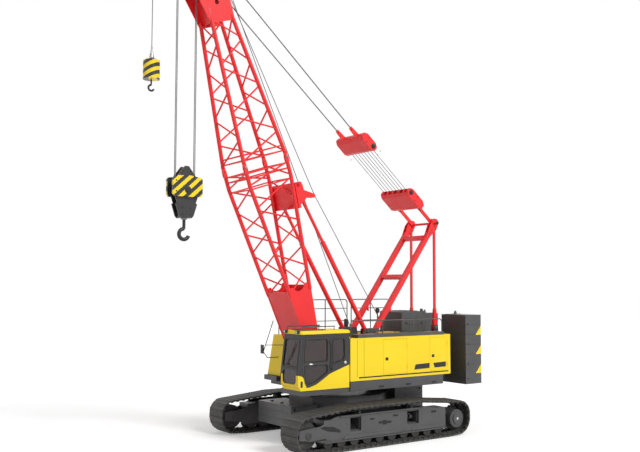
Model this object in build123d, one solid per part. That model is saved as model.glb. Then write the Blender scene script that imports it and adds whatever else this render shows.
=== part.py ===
"""Lattice-boom crawler crane, in millimetres.

+X points forward, +Y to the machine's left, +Z up. The origin lies on the ground under the slew
axis. The boom is drawn in its own plane: u runs along its axis from the foot pin, v points to its
front face.
"""
import os
from math import asin, atan2, ceil, cos, degrees, hypot, pi, radians, sin

from build123d import *

os.makedirs("parts", exist_ok=True)

# Clearances
SEAT = 0.3
RUN = 5.0
DOOR_GAP = 6.0

# Door hinges
HINGE_RADIUS = 12.0
HINGE_LENGTH = 120.0
HINGE_LEAF = 45.0

# Tracks
IDLER_X = 2820.0
TRACK_CENTRE_Y = 2070.0
SHOE_WIDTH = 820.0
SHOE_PITCH = 205.0
SHOE_GAP = 34.0
SHOE_NOTCH = 34.0
TRACK_DEPTH = 110.0
TRACK_END_RADIUS = 500.0
TRACK_END_X = IDLER_X + TRACK_END_RADIUS
TRACK_FLAT_X = IDLER_X - 420.0
TRACK_RISE = 60.0
TRACK_SHOULDER_Z = 1040.0
TRACK_TOP_Z = 1220.0
TRACK_TOP_FLAT_X = 1300.0
TRACK_TOP_RADIUS = 900.0

# Side frames
FRAME_WALL = 30.0
FLANGE = 32.0
FLANGE_WIDTH = 48.0
FRAME_WIDTH = 510.0
FRAME_REAR_X = 440.0 - IDLER_X
FRAME_BOX_FRONT_X = IDLER_X - 520.0
FRAME_BOX_Z = (420.0, 900.0)
FRAME_WALL_Z = (270.0, 985.0)
FRAME_TOP_X = (-1350.0, 1750.0)
FRAME_NOSE = 310.0
FRAME_TAIL_X = -IDLER_X - 230.0
WHEEL_Z = 520.0
WHEEL_RADIUS = 372.0
WHEEL_WIDTH = 240.0
DRIVE_RADIUS = 280.0
ROLLER_RADIUS = 140.0
ROLLER_COUNT = 10
ROLLER_MARGIN = 705.0
ROLLER_SPAN = 2 * (IDLER_X - ROLLER_MARGIN)
CARRIER_RADIUS = 95.0
CARRIER_X = 1000.0
AXLE_RADIUS = 45.0
SPROCKET_TEETH = 12
SPROCKET_TOOTH = 40.0
SPROCKET_HALF = 60.0
DRIVE_PROUD = 300.0
DRIVE_COVER = 30.0

# Carbody
BEAM_Z = (510.0, 910.0)
BEAM_X = ((970.0, 1370.0), (-1260.0, -790.0))
BEAM_END_Y = 2250.0
BEAM_WALL = 30.0
BEAM_RECESS = 420.0
BODY_HALF = 1250.0
BODY_LONG = 1500.0
BODY_CORNER = 620.0
BODY_Z = (560.0, 1300.0)
WEIGHTS = (("front", 2450.0, 900.0, 500.0, 1130.0), ("rear", -2690.0, 950.0, 620.0, 1440.0))
WEIGHT_SLABS = 3
WEIGHT_HOLE = (130.0, 110.0)
RING_RADIUS = 930.0
RING_BORE = 760.0
RING_HEIGHT = 110.0
RING_GAP = 0.5

# Deck
DECK_Z = (1520.0, 1820.0)
DECK_HALF_Y = 1600.0
DECK_CENTRE_Y = 680.0
SILL_X = (-2990.0, 800.0)
DECK_FRONT_X = 1560.0
DECK_REAR_X = -3990.0
STEP_REACH = 260.0
STEP_DROP = 150.0
CAB_ARM_X = 2500.0
CAB_ARM_LOW_Z = 1500.0

# Boom, along its axis from the foot pin
FOOT_X = 1170.0
FOOT_Z = 2050.0
BOOM_ANGLE = 72.0
KINK_U = 6000.0
JOINT_U = KINK_U + 580.0
JOINT_REACH = 130.0
HEAD_U = JOINT_U + 4420.0
CHORD_RADIUS = 60.0
LACE_RADIUS = 27.0
CROSS_RADIUS = 23.0
LACE_SHIFT = 0.07
CHORD_Y = 615.0
FORK_Y = (20.0, 44.0)
JOINT_PIN_RADIUS = 26.0
FRAME_STEPS = (190.0, 350.0)
FOOT_V = (75.0, -108.0)
JOINT_V = (745.0, -750.0)
HEAD_V = (370.0, -340.0)
HEAD_CHORD_Y = 330.0
FOOT_PLATE_U = 2750.0
FOOT_NOTCH_RADIUS = 230.0
WEB_U = 700.0
FOOT_PIN_RADIUS = 60.0
FOOT_BOSS_RADIUS = 130.0
FOOT_BOSS_Y = (500.0, 630.0)
PLATE = 30.0
HEAD_SHEAVE_U = HEAD_U + 1400.0
HEAD_SHEAVE_V = 560.0
HEAD_SHEAVE_RADIUS = 330.0
HEAD_FALL_RADIUS = 300.0
SHEAVE_WIDTH = 60.0
SHEAVE_PITCH = 75.0
ROPE_RADIUS = 12.0
ROPE_SEAT = 0.5
HEAD_PLATE_Y = 360.0
HEAD_HOLE_RADIUS = 70.0
GUIDE_U = HEAD_U + 700.0
GUIDE_V = -420.0
GUIDE_RADIUS = 250.0
GUIDE_FALL_RADIUS = 220.0
GUIDE_PITCH = 105.0
TIP_U = HEAD_SHEAVE_U + 900.0
TIP_V = 1150.0
TIP_RADIUS = 255.0
TIP_FALL_RADIUS = 230.0
JIB_PIN_U = HEAD_SHEAVE_U + 530.0
JIB_PIN_V = 560.0
JIB_PIN_RADIUS = 35.0
PENDANT_U = GUIDE_U + 200.0
PENDANT_V = -600.0
PENDANT_Y = 412.0
PENDANT_RADIUS = 18.0
PENDANT_EYE = 40.0

# Gantry
MAST_X = -950.0
MAST_Z = 3200.0
MAST_HEAD_X = -3610.0
MAST_HEAD_Z = 6800.0
MAST_Y = 580.0
LEG = 150.0
LINK_FOOT_Z = 3250.0
LINK_HALF = 45.0
GANTRY_PIN_RADIUS = 45.0
HEAD_PIN_RADIUS = 40.0
HEAD_PIN_PROUD = 85.0
HEAD_PLATE = 25.0
CROSSBEAM_S = (2120.0, 3780.0)
LEG_LUG_S = 900.0
BLOCK_S = (800.0, 1650.0)
SPREADER_S = (4200.0, 3500.0)
SPREADER_LUG_S = 4550.0
SPREADER_LUG_Y = (330.0, 380.0)
HULL_HALF_Y = 700.0
HULL_HALF = 150.0
HULL_BLUNT = 70.0
HULL_TAPER = 135.0
HULL_RADIUS = 55.0
BLOCK_SHEAVE_RADIUS = 125.0
BLOCK_SHEAVES_Y = (-420.0, -140.0, 140.0, 420.0)

# Backstops
STOP_X = -620.0
STOP_Z = 3200.0
STOP_Y = 580.0
STOP_U = KINK_U - 700.0
STOP_V = -920.0
STOP_TUBE_RADIUS = 72.0
STOP_TUBE_LENGTH = 3300.0
STOP_ROD_START = 700.0
ROLLER_U = STOP_U - 170.0
ROLLER_V = -1800.0
ROLLER_HALF_Y = 60.0
ROPE_ROLLER_RADIUS = 45.0
LINE_END_Z = 3900.0
STOP_ROD_RADIUS = 50.0

# Cab
CAB_X = (840.0, 2680.0)
CAB_Y = (700.0, DECK_HALF_Y - DOOR_GAP)
CAB_Z = (1655.0, 3260.0)
CAB_ROOF_Z = 3360.0
CAB_LEAN = 120.0
CAB_WALL = 45.0
DOOR_X = (1560.0, 2520.0)
CAB_HINGES = (2280.0, 3000.0)
GLASS = 8.0
ROOF_RIM = 28.0
WINDSCREEN_Z = ((1800.0, 2270.0), (2330.0, 3120.0))
WINDSCREEN_INSET = 70.0
REAR_WINDOW_Z = (2450.0, 3110.0)
REAR_WINDOW_INSET = 110.0
SIDE_WINDOW = ((1445, 3110), (1010, 3110), (1000, 2560), (1060, 2470), (1445, 2360))
RIGHT_WINDOW = ((2440, 3110), (2480, 2300), (980, 2300), (980, 3110))
DOOR_OUTLINE = ((2470, 3170), (2520, 2600), (2510, 2150), (2440, 1850), (2360, 1750), (2050, 1825),
                (1800, 1965), (1560, 2110), (1560, 3170))
DOOR_UPPER = ((2425, 3110), (2465, 2600), (2465, 2450), (1630, 2450), (1630, 3110))
DOOR_LOWER = ((2455, 2370), (2450, 2150), (2390, 1880), (2350, 1815), (2060, 1885), (1820, 2025),
              (1630, 2140), (1630, 2370))
GUARD_HEIGHT = 110.0
GUARD_X = (1360.0, 1740.0, 2110.0, 2490.0)
GUARD_INSET = 60.0
GUARD_RADIUS = 16.0

# Housings
LEFT_X = (-3460.0, 800.0)
CORNER_RADIUS = 220.0
GROOVE_Z = (1890.0, 1930.0)
GROOVE_FRONT_X = 480.0
GROOVE_DEPTH = 12.0
HOUSE_Z = (1820.0, 3090.0)
HOUSE_INNER_Y = 880.0
HOUSE_SKIN = 40.0
ROOM_WALL = 60.0
ROOM_RIM = 40.0
RIGHT_FRONT_X = (1690.0, 1470.0)
DOOR_Z = (1960.0, 3010.0)
HOUSE_HINGES = (2160.0, 2810.0)
LEFT_DOORS = (("left_front_door", -1443.0, -483.0), ("left_rear_door", -3180.0, -2426.0))
RIGHT_DOORS = (("right_front_door", -800.0, 400.0), ("right_rear_door", -3000.0, -1500.0))

ENGINE_HEIGHT = 700.0
HOOD_X = (-3200.0, -2150.0)
HOOD_HALF_Y = 560.0
HOOD_Z = (3150.0, 3820.0)
HOOD_POST = 60.0

# Rails
RAIL_Y = DECK_HALF_Y - 50.0
RAIL_RADIUS = 17.0
RAIL_BEND = 110.0
RAIL_HEIGHTS = (1100.0, 800.0, 380.0)
POST_PITCH = 1200.0
RAIL_SPANS = ((-1500.0, 1300.0), (-3400.0, -1680.0))
LOW_RAIL_X = (-3000.0, 760.0)
LOW_RAIL_HEIGHT = 510.0
WALKWAY_X = (-3050.0, 500.0)
WALKWAY_Y = (DECK_HALF_Y - 400.0, DECK_HALF_Y - 10.0)
WALKWAY_HEIGHT = 100.0

# Counterweight
WEIGHT_STACK_X = (-4770.0, -4040.0)
TRAY_Z = (1420.0, 1750.0)
STACK_TOP_Z = 3700.0
SLAB_COUNT = 6
SLAB_SEAM = 10.0
STACK_MIDDLE_Z = 2900.0
STACK_INNER_Y = 470.0

# Winches: name, shaft x, drum radius
DRUM_Z = 2450.0
DRUM_HALF = 420.0
DRUM_PLATE = 25.0
WINCHES = (("aux_drum", -1040.0, 250.0), ("main_drum", -2050.0, 290.0), ("luffing_drum", -2960.0, 230.0))

# Hooks
HOOK_SHEAVE_Z = 7350.0
AUX_HOOK_Z = 10400.0
AUX_WEIGHT_Z = 10930.0
AUX_WEIGHT_RADIUS = 235.0
AUX_SHOULDER = 90.0
HOOK_BLOCK_Z = 6560.0
BLOCK_Y = (110.0, 150.0, 235.0)
BLOCK_OUTLINE = ((60.0, 8040.0), (290.0, 7740.0), (400.0, 7600.0), (400.0, 7300.0), (290.0, 6985.0),
                 (335.0, 6960.0), (225.0, 6620.0), (170.0, 6560.0))
WEIGHT_OUTLINE = ((120.0, 7760.0), (420.0, 7710.0), (460.0, 7650.0), (460.0, 7230.0), (400.0, 7160.0),
                  (60.0, 7160.0))


def box(x, y, z):
    """A box from three (low, high) pairs."""
    size = [abs(b - a) for a, b in (x, y, z)]
    return Pos(*[(a + b) / 2 for a, b in (x, y, z)]) * Box(*size)


def sketch_xz(sketch, low_y, high_y):
    """A side-view sketch, as thick as the given span of Y."""
    plane = Plane(origin=(0, high_y, 0), x_dir=(1, 0, 0), z_dir=(0, -1, 0))
    return extrude(plane * sketch, amount=high_y - low_y, dir=(0, -1, 0))


def plate_xz(points, low_y, high_y):
    """A side-view outline of (x, z) points, as thick as the given span of Y."""
    return sketch_xz(Polygon(*points, align=None), low_y, high_y)


def plate_xy(points, low_z, high_z):
    """A plan outline of (x, y) points, as high as the given span of Z."""
    outline = Plane.XY.offset(low_z) * Polygon(*points, align=None)
    return extrude(outline, amount=high_z - low_z, dir=(0, 0, 1))


def pin_y(x, z, radius, low_y, high_y):
    """A cylinder along Y."""
    return Pos(x, (low_y + high_y) / 2, z) * Rot(90, 0, 0) * Cylinder(radius, high_y - low_y)


def bar(start, end, radius, sides=0):
    """A round bar between two points, or one with flat sides."""
    direction = Vector(*end) - Vector(*start)
    plane = Plane(origin=start, z_dir=direction)
    outline = RegularPolygon(radius, sides) if sides else Circle(radius)
    return extrude(plane * outline, amount=direction.length, dir=direction.normalized())


def both_sides(shape):
    """The shape and its mirror image across the machine's centre plane."""
    return [shape, mirror(shape, about=Plane.XZ)]


def hinges(x, outer_y, heights):
    """Knuckles and leaves on a panel's outer face: those of the frame, then those of the door."""
    fixed, moving = [], []
    axis_x = x - DOOR_GAP / 2
    third = HINGE_LENGTH / 3
    for height in heights:
        for number, group in ((-1, fixed), (0, moving), (1, fixed)):
            middle = height + number * (third + SEAT)
            span = (middle - third / 2, middle + third / 2)
            knuckle = Pos(axis_x, outer_y + HINGE_RADIUS, middle) * Cylinder(HINGE_RADIUS, third)
            reach = (axis_x - HINGE_LEAF, axis_x) if group is fixed else (axis_x, axis_x + HINGE_LEAF)
            group.append(knuckle + box(reach, (outer_y, outer_y + HINGE_RADIUS / 2), span))
    return fixed, moving


def save(name, *shapes):
    """Write one node's solids to its own file."""
    solids = [solid for shape in shapes for item in (shape if isinstance(shape, list) else [shape])
              for solid in item.solids()]
    export_step(solids[0] if len(solids) == 1 else Compound(children=solids), f"parts/{name}.step")


def on_boom(u, v):
    """The (x, z) place of a point given along and across the boom."""
    angle = radians(BOOM_ANGLE)
    return (FOOT_X + u * cos(angle) + v * sin(angle), FOOT_Z + u * sin(angle) - v * cos(angle))


def boom_point(u, v, y):
    """The same, as a point in space."""
    x, z = on_boom(u, v)
    return (x, y, z)


HEAD_X = on_boom(HEAD_SHEAVE_U, HEAD_SHEAVE_V)[0]
AUX_X = on_boom(TIP_U, TIP_V)[0] + TIP_FALL_RADIUS
PENDANT_X, PENDANT_Z = on_boom(PENDANT_U, PENDANT_V)
LINE_ANGLE = degrees(atan2(PENDANT_Z - MAST_HEAD_Z, PENDANT_X - MAST_HEAD_X))
LINE_LENGTH = hypot(PENDANT_Z - MAST_HEAD_Z, PENDANT_X - MAST_HEAD_X)


def on_line(s, n):
    """The (x, z) place of a point along and across the line from the mast head to the pendant pin."""
    angle = radians(LINE_ANGLE)
    return (MAST_HEAD_X + s * cos(angle) - n * sin(angle), MAST_HEAD_Z + s * sin(angle) + n * cos(angle))


# Undercarriage
def track_path():
    """The closed outer line of a track, seen from the side."""
    corners = (
        (-TRACK_FLAT_X, 0),
        (TRACK_FLAT_X, 0),
        (TRACK_END_X, TRACK_RISE),
        (TRACK_END_X, TRACK_SHOULDER_Z),
        (TRACK_TOP_FLAT_X, TRACK_TOP_Z),
        (-TRACK_TOP_FLAT_X, TRACK_TOP_Z),
        (-TRACK_END_X, TRACK_SHOULDER_Z),
        (-TRACK_END_X, TRACK_RISE),
    )
    end, top = TRACK_END_RADIUS, TRACK_TOP_RADIUS
    radii = [top, top, end, 0.86 * end, top, top, 0.86 * end, end]
    return FilletPolyline(*corners, radius=radii, close=True)


def track(side):
    """One fixed loop: every shoe is a tooth of its outer line."""
    path = track_path()
    count = round(path.length / SHOE_PITCH)
    half_pad = (SHOE_PITCH - SHOE_GAP) / 2
    half_root = half_pad + SHOE_GAP / 4
    shoe = ((-half_root, SHOE_NOTCH), (-half_pad, 0), (half_pad, 0), (half_root, SHOE_NOTCH))
    outer, inner = [], []
    for number in range(count):
        place, along = path.position_at(number / count), path.tangent_at(number / count)
        out = Vector(along.Y, -along.X)
        outer += [place + along * step - out * depth for step, depth in shoe]
        inner.append(place - out * TRACK_DEPTH)
    low, high = TRACK_CENTRE_Y - SHOE_WIDTH / 2, TRACK_CENTRE_Y + SHOE_WIDTH / 2
    outside, inside = [plate_xz([(p.X, p.Y) for p in line], low, high) for line in (outer, inner)]
    loop = outside - inside
    return loop if side > 0 else mirror(loop, about=Plane.XZ)


def side_frame(side):
    """A box beam between two shaped walls that carry the idler, the rollers and the drive."""
    inner_y, outer_y = TRACK_CENTRE_Y - FRAME_WIDTH / 2, TRACK_CENTRE_Y + FRAME_WIDTH / 2
    low, high = FRAME_WALL_Z
    flat_rear, flat_front = FRAME_TOP_X
    nose = IDLER_X + FRAME_NOSE
    outline = (
        (FRAME_REAR_X, low), (FRAME_BOX_FRONT_X, low), (IDLER_X - 370, 330), (nose, 430), (nose, 690),
        (IDLER_X - 400, 750), (IDLER_X - 880, 950), (flat_front, high), (flat_rear, high),
        (FRAME_REAR_X, 850),
    )
    beam = box((FRAME_REAR_X, FRAME_BOX_FRONT_X), (inner_y, outer_y), FRAME_BOX_Z)
    outer_wall = plate_xz(outline, outer_y - FRAME_WALL, outer_y)
    inner_wall = plate_xz(outline, inner_y, inner_y + FRAME_WALL)
    tail = plate_xz(((FRAME_REAR_X, 300), (FRAME_REAR_X, 800), (FRAME_TAIL_X, 740), (FRAME_TAIL_X, 340)),
                    inner_y, inner_y + FRAME_WALL)
    frame = beam + outer_wall + inner_wall + tail
    for span_x, z_low in ((FRAME_TOP_X, high - FLANGE), ((FRAME_REAR_X, FRAME_BOX_FRONT_X), low)):
        frame += box(span_x, (outer_y - 1, outer_y + FLANGE_WIDTH), (z_low, z_low + FLANGE))
    beam_z = (BEAM_Z[0] - SEAT, BEAM_Z[1] + SEAT)
    for x_low, x_high in BEAM_X:
        frame -= box((x_low - SEAT, x_high + SEAT), (inner_y - 1, outer_y + 1), beam_z)
    frame -= pin_y(IDLER_X, WHEEL_Z, AXLE_RADIUS + SEAT, inner_y - 1, outer_y + 1)
    return frame if side > 0 else mirror(frame, about=Plane.XZ)


def sprocket():
    """A toothed wheel around the travel drive."""
    low, high = TRACK_CENTRE_Y - SPROCKET_HALF, TRACK_CENTRE_Y + SPROCKET_HALF
    root = WHEEL_RADIUS - SPROCKET_TOOTH
    ring = pin_y(-IDLER_X, WHEEL_Z, root, low, high)
    tooth = plate_xz(((-55, root - 20), (55, root - 20), (25, WHEEL_RADIUS), (-25, WHEEL_RADIUS)), low, high)
    for number in range(SPROCKET_TEETH):
        ring += Pos(-IDLER_X, 0, WHEEL_Z) * Rot(0, 360 * number / SPROCKET_TEETH, 0) * tooth
    return ring - pin_y(-IDLER_X, WHEEL_Z, DRIVE_RADIUS + SEAT, low - 10, high + 10)


def rollers():
    """Bottom rollers and carrier rollers of one side, each with its axle between the walls."""
    gap = FRAME_WIDTH / 2 - FRAME_WALL
    rows = [(-ROLLER_SPAN / 2 + ROLLER_SPAN * i / (ROLLER_COUNT - 1), TRACK_DEPTH + SEAT + ROLLER_RADIUS,
             ROLLER_RADIUS, 150) for i in range(ROLLER_COUNT)]
    carrier_z = TRACK_TOP_Z - TRACK_DEPTH - SEAT - CARRIER_RADIUS
    rows += [(x, carrier_z, CARRIER_RADIUS, 120) for x in (-CARRIER_X, CARRIER_X)]
    made = []
    for x, z, radius, half in rows:
        wheel = pin_y(x, z, radius, TRACK_CENTRE_Y - half, TRACK_CENTRE_Y + half)
        made.append(wheel + pin_y(x, z, AXLE_RADIUS, TRACK_CENTRE_Y - gap, TRACK_CENTRE_Y + gap))
    return made


def idler():
    """The front wheel with its axle."""
    wheel, axle = [pin_y(IDLER_X, WHEEL_Z, radius, TRACK_CENTRE_Y - width / 2, TRACK_CENTRE_Y + width / 2)
                   for radius, width in ((WHEEL_RADIUS, WHEEL_WIDTH), (AXLE_RADIUS, FRAME_WIDTH))]
    return wheel + axle


def travel_drive():
    """Gearbox drum through the sprocket, with its motor inboard of the frame."""
    wall = TRACK_CENTRE_Y - FRAME_WIDTH / 2 + FRAME_WALL
    face = TRACK_CENTRE_Y + DRIVE_PROUD
    drum = pin_y(-IDLER_X, WHEEL_Z, DRIVE_RADIUS, wall, face)
    return drum + pin_y(-IDLER_X, WHEEL_Z, 0.6 * DRIVE_RADIUS, face, face + DRIVE_COVER)


def carbody():
    """Centre box with two axle beams that pass into the side frames."""
    cut = BODY_HALF - BODY_CORNER
    plan = ((BODY_LONG, cut), (cut, BODY_HALF), (-cut, BODY_HALF), (-BODY_LONG, cut),
            (-BODY_LONG, -cut), (-cut, -BODY_HALF), (cut, -BODY_HALF), (BODY_LONG, -cut))
    body = plate_xy(plan, *BODY_Z)
    for span in BEAM_X:
        body += box(span, (-BEAM_END_Y, BEAM_END_Y), BEAM_Z)
        inside = [(low + BEAM_WALL, high - BEAM_WALL) for low, high in (span, BEAM_Z)]
        for side in (-1, 1):
            ends = sorted((side * (BEAM_END_Y - BEAM_RECESS), side * (BEAM_END_Y + 1)))
            body -= box(inside[0], ends, inside[1])
    return body


def carbody_weights():
    """The stacked slabs hung on the front and the rear of the carbody."""
    made = []
    for name, end_x, half_y, low, high in WEIGHTS:
        outward = 1 if end_x > 0 else -1
        x_low, x_high = sorted((outward * (BODY_LONG + SEAT), end_x))
        block = box((x_low, x_high), (-half_y, half_y), (low, high))
        step = (high - low) / WEIGHT_SLABS
        for number in range(1, WEIGHT_SLABS):
            seam = low + number * step
            groove = box((x_low - 1, x_high + 1), (-half_y - 1, half_y + 1), (seam - 5, seam + 5))
            core = box((x_low + 12, x_high - 12), (-half_y + 12, half_y - 12), (seam - 6, seam + 6))
            block -= groove - core
        block -= pin_y(end_x - outward * WEIGHT_HOLE[0], high - WEIGHT_HOLE[1], 35, -half_y - 1, half_y + 1)
        made.append(block)
    return made


def slew_ring(low_z, high_z, radius):
    """A plain ring about the slew axis."""
    ring = Cylinder(radius, high_z - low_z) - Cylinder(RING_BORE, high_z - low_z)
    return Pos(0, 0, (low_z + high_z) / 2) * ring


# Upper works
def deck_frame():
    """Centre box, side sills, cab arm, boom ears, mast posts and rear posts."""
    low, high = DECK_Z
    deck = box((DECK_REAR_X, DECK_FRONT_X), (-DECK_CENTRE_Y, DECK_CENTRE_Y), DECK_Z)
    deck += box(SILL_X, (-DECK_HALF_Y, DECK_HALF_Y), DECK_Z)
    deck += box((SILL_X[1], DECK_FRONT_X), (-DECK_HALF_Y, -DECK_CENTRE_Y), DECK_Z)
    deck += box((SILL_X[1], CAB_ARM_X), (DECK_CENTRE_Y - 200, DECK_HALF_Y - 40),
                (CAB_ARM_LOW_Z, CAB_Z[0] - SEAT))
    step_z = (high - STEP_DROP, high)
    deck += box((DECK_FRONT_X - 1, DECK_FRONT_X + STEP_REACH), (-DECK_HALF_Y, -HOUSE_INNER_Y), step_z)
    ear_top = FOOT_Z + FOOT_BOSS_RADIUS
    ear = ((FOOT_X - 330, high), (FOOT_X + 330, high), (FOOT_X + 130, ear_top), (FOOT_X - 130, ear_top))
    boss_low, boss_high = FOOT_BOSS_Y[0] - RUN, FOOT_BOSS_Y[1] + RUN
    for y_low, y_high in ((boss_low - PLATE, boss_low), (boss_high, boss_high + PLATE)):
        deck += both_sides(plate_xz(ear, y_low, y_high))
    deck += both_sides(pin_y(FOOT_X, FOOT_Z, FOOT_PIN_RADIUS, boss_low - PLATE, boss_high + PLATE))
    post_top = STOP_Z + 110
    post = ((-1250, high), (-250, high), (STOP_X + 130, post_top), (MAST_X - 130, post_top))
    foot = LEG / 2 + RUN
    for y in (MAST_Y - foot - PLATE, MAST_Y + foot):
        deck += both_sides(plate_xz(post, y, y + PLATE))
    for x, z in ((MAST_X, MAST_Z), (STOP_X, STOP_Z)):
        deck += both_sides(pin_y(x, z, GANTRY_PIN_RADIUS, MAST_Y - foot - PLATE, MAST_Y + foot + PLATE))
    rear_top = LINK_FOOT_Z + 90
    rear = ((MAST_HEAD_X - 200, high), (MAST_HEAD_X + 200, high), (MAST_HEAD_X + 80, rear_top),
            (MAST_HEAD_X - 80, rear_top))
    for y in (MAST_Y - LINK_HALF - RUN - PLATE, MAST_Y + LINK_HALF + RUN):
        deck += both_sides(plate_xz(rear, y, y + PLATE))
    reach = LINK_HALF + RUN + PLATE
    return deck + both_sides(pin_y(MAST_HEAD_X, LINK_FOOT_Z, HEAD_PIN_RADIUS, MAST_Y - reach, MAST_Y + reach))


def cab_profile(inset):
    """Side view of the cab, drawn in by the given amount."""
    low, high = CAB_Z[0], CAB_Z[1] - inset
    rear, front = CAB_X[0] + inset, CAB_X[1] - inset
    return ((rear, low + inset), (front - 90, low + inset), (front, low + 150), (front, low + 640),
            (front - CAB_LEAN, high), (rear, high))


def windscreen_room(reach):
    """The two boxes in the cab's front in which the windscreen's panes lie, out to the given place ahead."""
    y = (CAB_Y[0] + WINDSCREEN_INSET, CAB_Y[1] - WINDSCREEN_INSET)
    return [box((CAB_X[1] - 300, CAB_X[1] + reach), y, z) for z in WINDSCREEN_Z]


def cab_shell():
    """Hollow cab with its windows and its door opening cut."""
    y_low, y_high = CAB_Y
    shell = plate_xz(cab_profile(0), y_low, y_high)
    shell -= plate_xz(cab_profile(CAB_WALL), y_low + CAB_WALL, y_high - CAB_WALL)
    wall = (y_high - CAB_WALL - 1, y_high + 1)
    opening = offset(Polygon(*DOOR_OUTLINE, align=None), amount=DOOR_GAP)
    shell -= sketch_xz(opening, *wall)
    shell -= plate_xz(SIDE_WINDOW, *wall)
    shell -= plate_xz(RIGHT_WINDOW, y_low - 1, y_low + CAB_WALL + 1)
    for room in windscreen_room(10):
        shell -= room
    rear_y = (y_low + REAR_WINDOW_INSET, y_high - REAR_WINDOW_INSET)
    shell -= box((CAB_X[0] - 1, CAB_X[0] + CAB_WALL + 1), rear_y, REAR_WINDOW_Z)
    return shell.fuse(*hinges(DOOR_X[0], y_high, CAB_HINGES)[0])


def cab_glass():
    """One pane in each fixed window, halfway into its wall."""
    y_low, y_high = CAB_Y
    middle = CAB_WALL / 2
    panes = [plate_xz(SIDE_WINDOW, y_high - middle - GLASS, y_high - middle)]
    panes.append(plate_xz(RIGHT_WINDOW, y_low + middle, y_low + middle + GLASS))
    skin = plate_xz(cab_profile(middle), y_low, y_high)
    skin -= plate_xz(cab_profile(middle + GLASS), y_low - 1, y_high + 1)
    panes += [skin & room for room in windscreen_room(0)]
    rear_y = (y_low + REAR_WINDOW_INSET, y_high - REAR_WINDOW_INSET)
    panes.append(box((CAB_X[0] + middle, CAB_X[0] + middle + GLASS), rear_y, REAR_WINDOW_Z))
    return panes


def cab_door():
    """The door leaf, as thick as the wall, with both of its windows cut."""
    y_low, y_high = CAB_Y[1] - CAB_WALL, CAB_Y[1]
    leaf = plate_xz(DOOR_OUTLINE, y_low, y_high)
    for window in (DOOR_UPPER, DOOR_LOWER):
        leaf -= plate_xz(window, y_low - 1, y_high + 1)
    return leaf.fuse(*hinges(DOOR_X[0], y_high, CAB_HINGES)[1])


def cab_roof():
    """The rounded cap on the cab, with its rim."""
    rear, front = CAB_X
    y = (CAB_Y[0] - ROOF_RIM, CAB_Y[1] + ROOF_RIM)
    cap = box((rear, front - CAB_LEAN + ROOF_RIM), y, (CAB_Z[1], CAB_ROOF_Z))
    cap = fillet(cap.edges().filter_by(Axis.Z).group_by(Axis.X)[-1], 110)
    return fillet(cap.edges().group_by(Axis.Z)[-1], 60)


def cab_seat():
    """Seat with its stand and backrest."""
    middle = (CAB_Y[0] + CAB_Y[1]) / 2
    floor = CAB_Z[0] + CAB_WALL
    seat = box((1150, 1500), (middle - 130, middle + 130), (floor, floor + 300))
    seat += box((1080, 1640), (middle - 260, middle + 260), (floor + 300, floor + 420))
    seat += box((1020, 1160), (middle - 250, middle + 250), (floor + 380, floor + 1080))
    return seat


def cab_console():
    """Front console with two control levers."""
    middle = (CAB_Y[0] + CAB_Y[1]) / 2
    floor = CAB_Z[0] + CAB_WALL
    profile = ((2260, floor), (2500, floor), (2500, floor + 560), (2330, floor + 620), (2260, floor + 500))
    desk = plate_xz(profile, middle - 250, middle + 150)
    for y in (middle - 200, middle):
        desk += bar((2300, y, floor + 500), (2180, y, floor + 760), 14)
    return desk


def cab_guard():
    """Bars above the cab roof."""
    low, high = CAB_ROOF_Z, CAB_ROOF_Z + GUARD_HEIGHT
    y_low, y_high = CAB_Y[0] + GUARD_INSET, CAB_Y[1] - GUARD_INSET
    rear, *cross, front = GUARD_X
    bars = []
    for y in (y_low, y_high):
        bars.append(bar((rear - 25, y, high), (front + 25, y, high), GUARD_RADIUS))
        bars += [bar((x, y, low), (x, y, high), GUARD_RADIUS - 5) for x in (rear, front)]
    bars += [bar((x, y_low, high), (x, y_high, high), GUARD_RADIUS - 3) for x in cross]
    return bars[0].fuse(*bars[1:])


def doorway(rear, front):
    """What a left-hand door cuts from its housing: the leaf's seat and the compartment behind it."""
    seat_y = (DECK_HALF_Y - HOUSE_SKIN - DOOR_GAP, DECK_HALF_Y + 1)
    seat = box((rear - DOOR_GAP, front + DOOR_GAP), seat_y, (DOOR_Z[0] - DOOR_GAP, DOOR_Z[1] + DOOR_GAP))
    room_y = (HOUSE_INNER_Y + ROOM_WALL, DECK_HALF_Y)
    room_z = (DOOR_Z[0] + ROOM_RIM, DOOR_Z[1] - ROOM_RIM)
    return seat + box((rear + ROOM_RIM, front - ROOM_RIM), room_y, room_z)


def left_housing():
    """Closed side housing with a compartment behind each door."""
    house = box(LEFT_X, (HOUSE_INNER_Y, DECK_HALF_Y), HOUSE_Z)
    corner = house.edges().filter_by(Axis.Z).sort_by(Axis.Y)[-2:].sort_by(Axis.X)[0]
    house = fillet(corner, CORNER_RADIUS)
    groove_y = (DECK_HALF_Y - GROOVE_DEPTH, DECK_HALF_Y + 1)
    house -= box((LEFT_X[0] + CORNER_RADIUS, GROOVE_FRONT_X), groove_y, GROOVE_Z)
    for name, rear, front in LEFT_DOORS:
        house -= doorway(rear, front)
        house = house.fuse(*hinges(rear, DECK_HALF_Y, HOUSE_HINGES)[0])
    return house


def right_housing():
    """Engine housing with a leaning front and a compartment behind each door."""
    low, high = HOUSE_Z
    profile = ((LEFT_X[0], low), (RIGHT_FRONT_X[0], low), (RIGHT_FRONT_X[1], high), (LEFT_X[0], high))
    house = plate_xz(profile, -DECK_HALF_Y, -HOUSE_INNER_Y)
    for name, rear, front in RIGHT_DOORS:
        house -= mirror(doorway(rear, front), about=Plane.XZ)
        fixed = hinges(rear, DECK_HALF_Y, HOUSE_HINGES)[0]
        house = house.fuse(*[mirror(item, about=Plane.XZ) for item in fixed])
    return house


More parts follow.
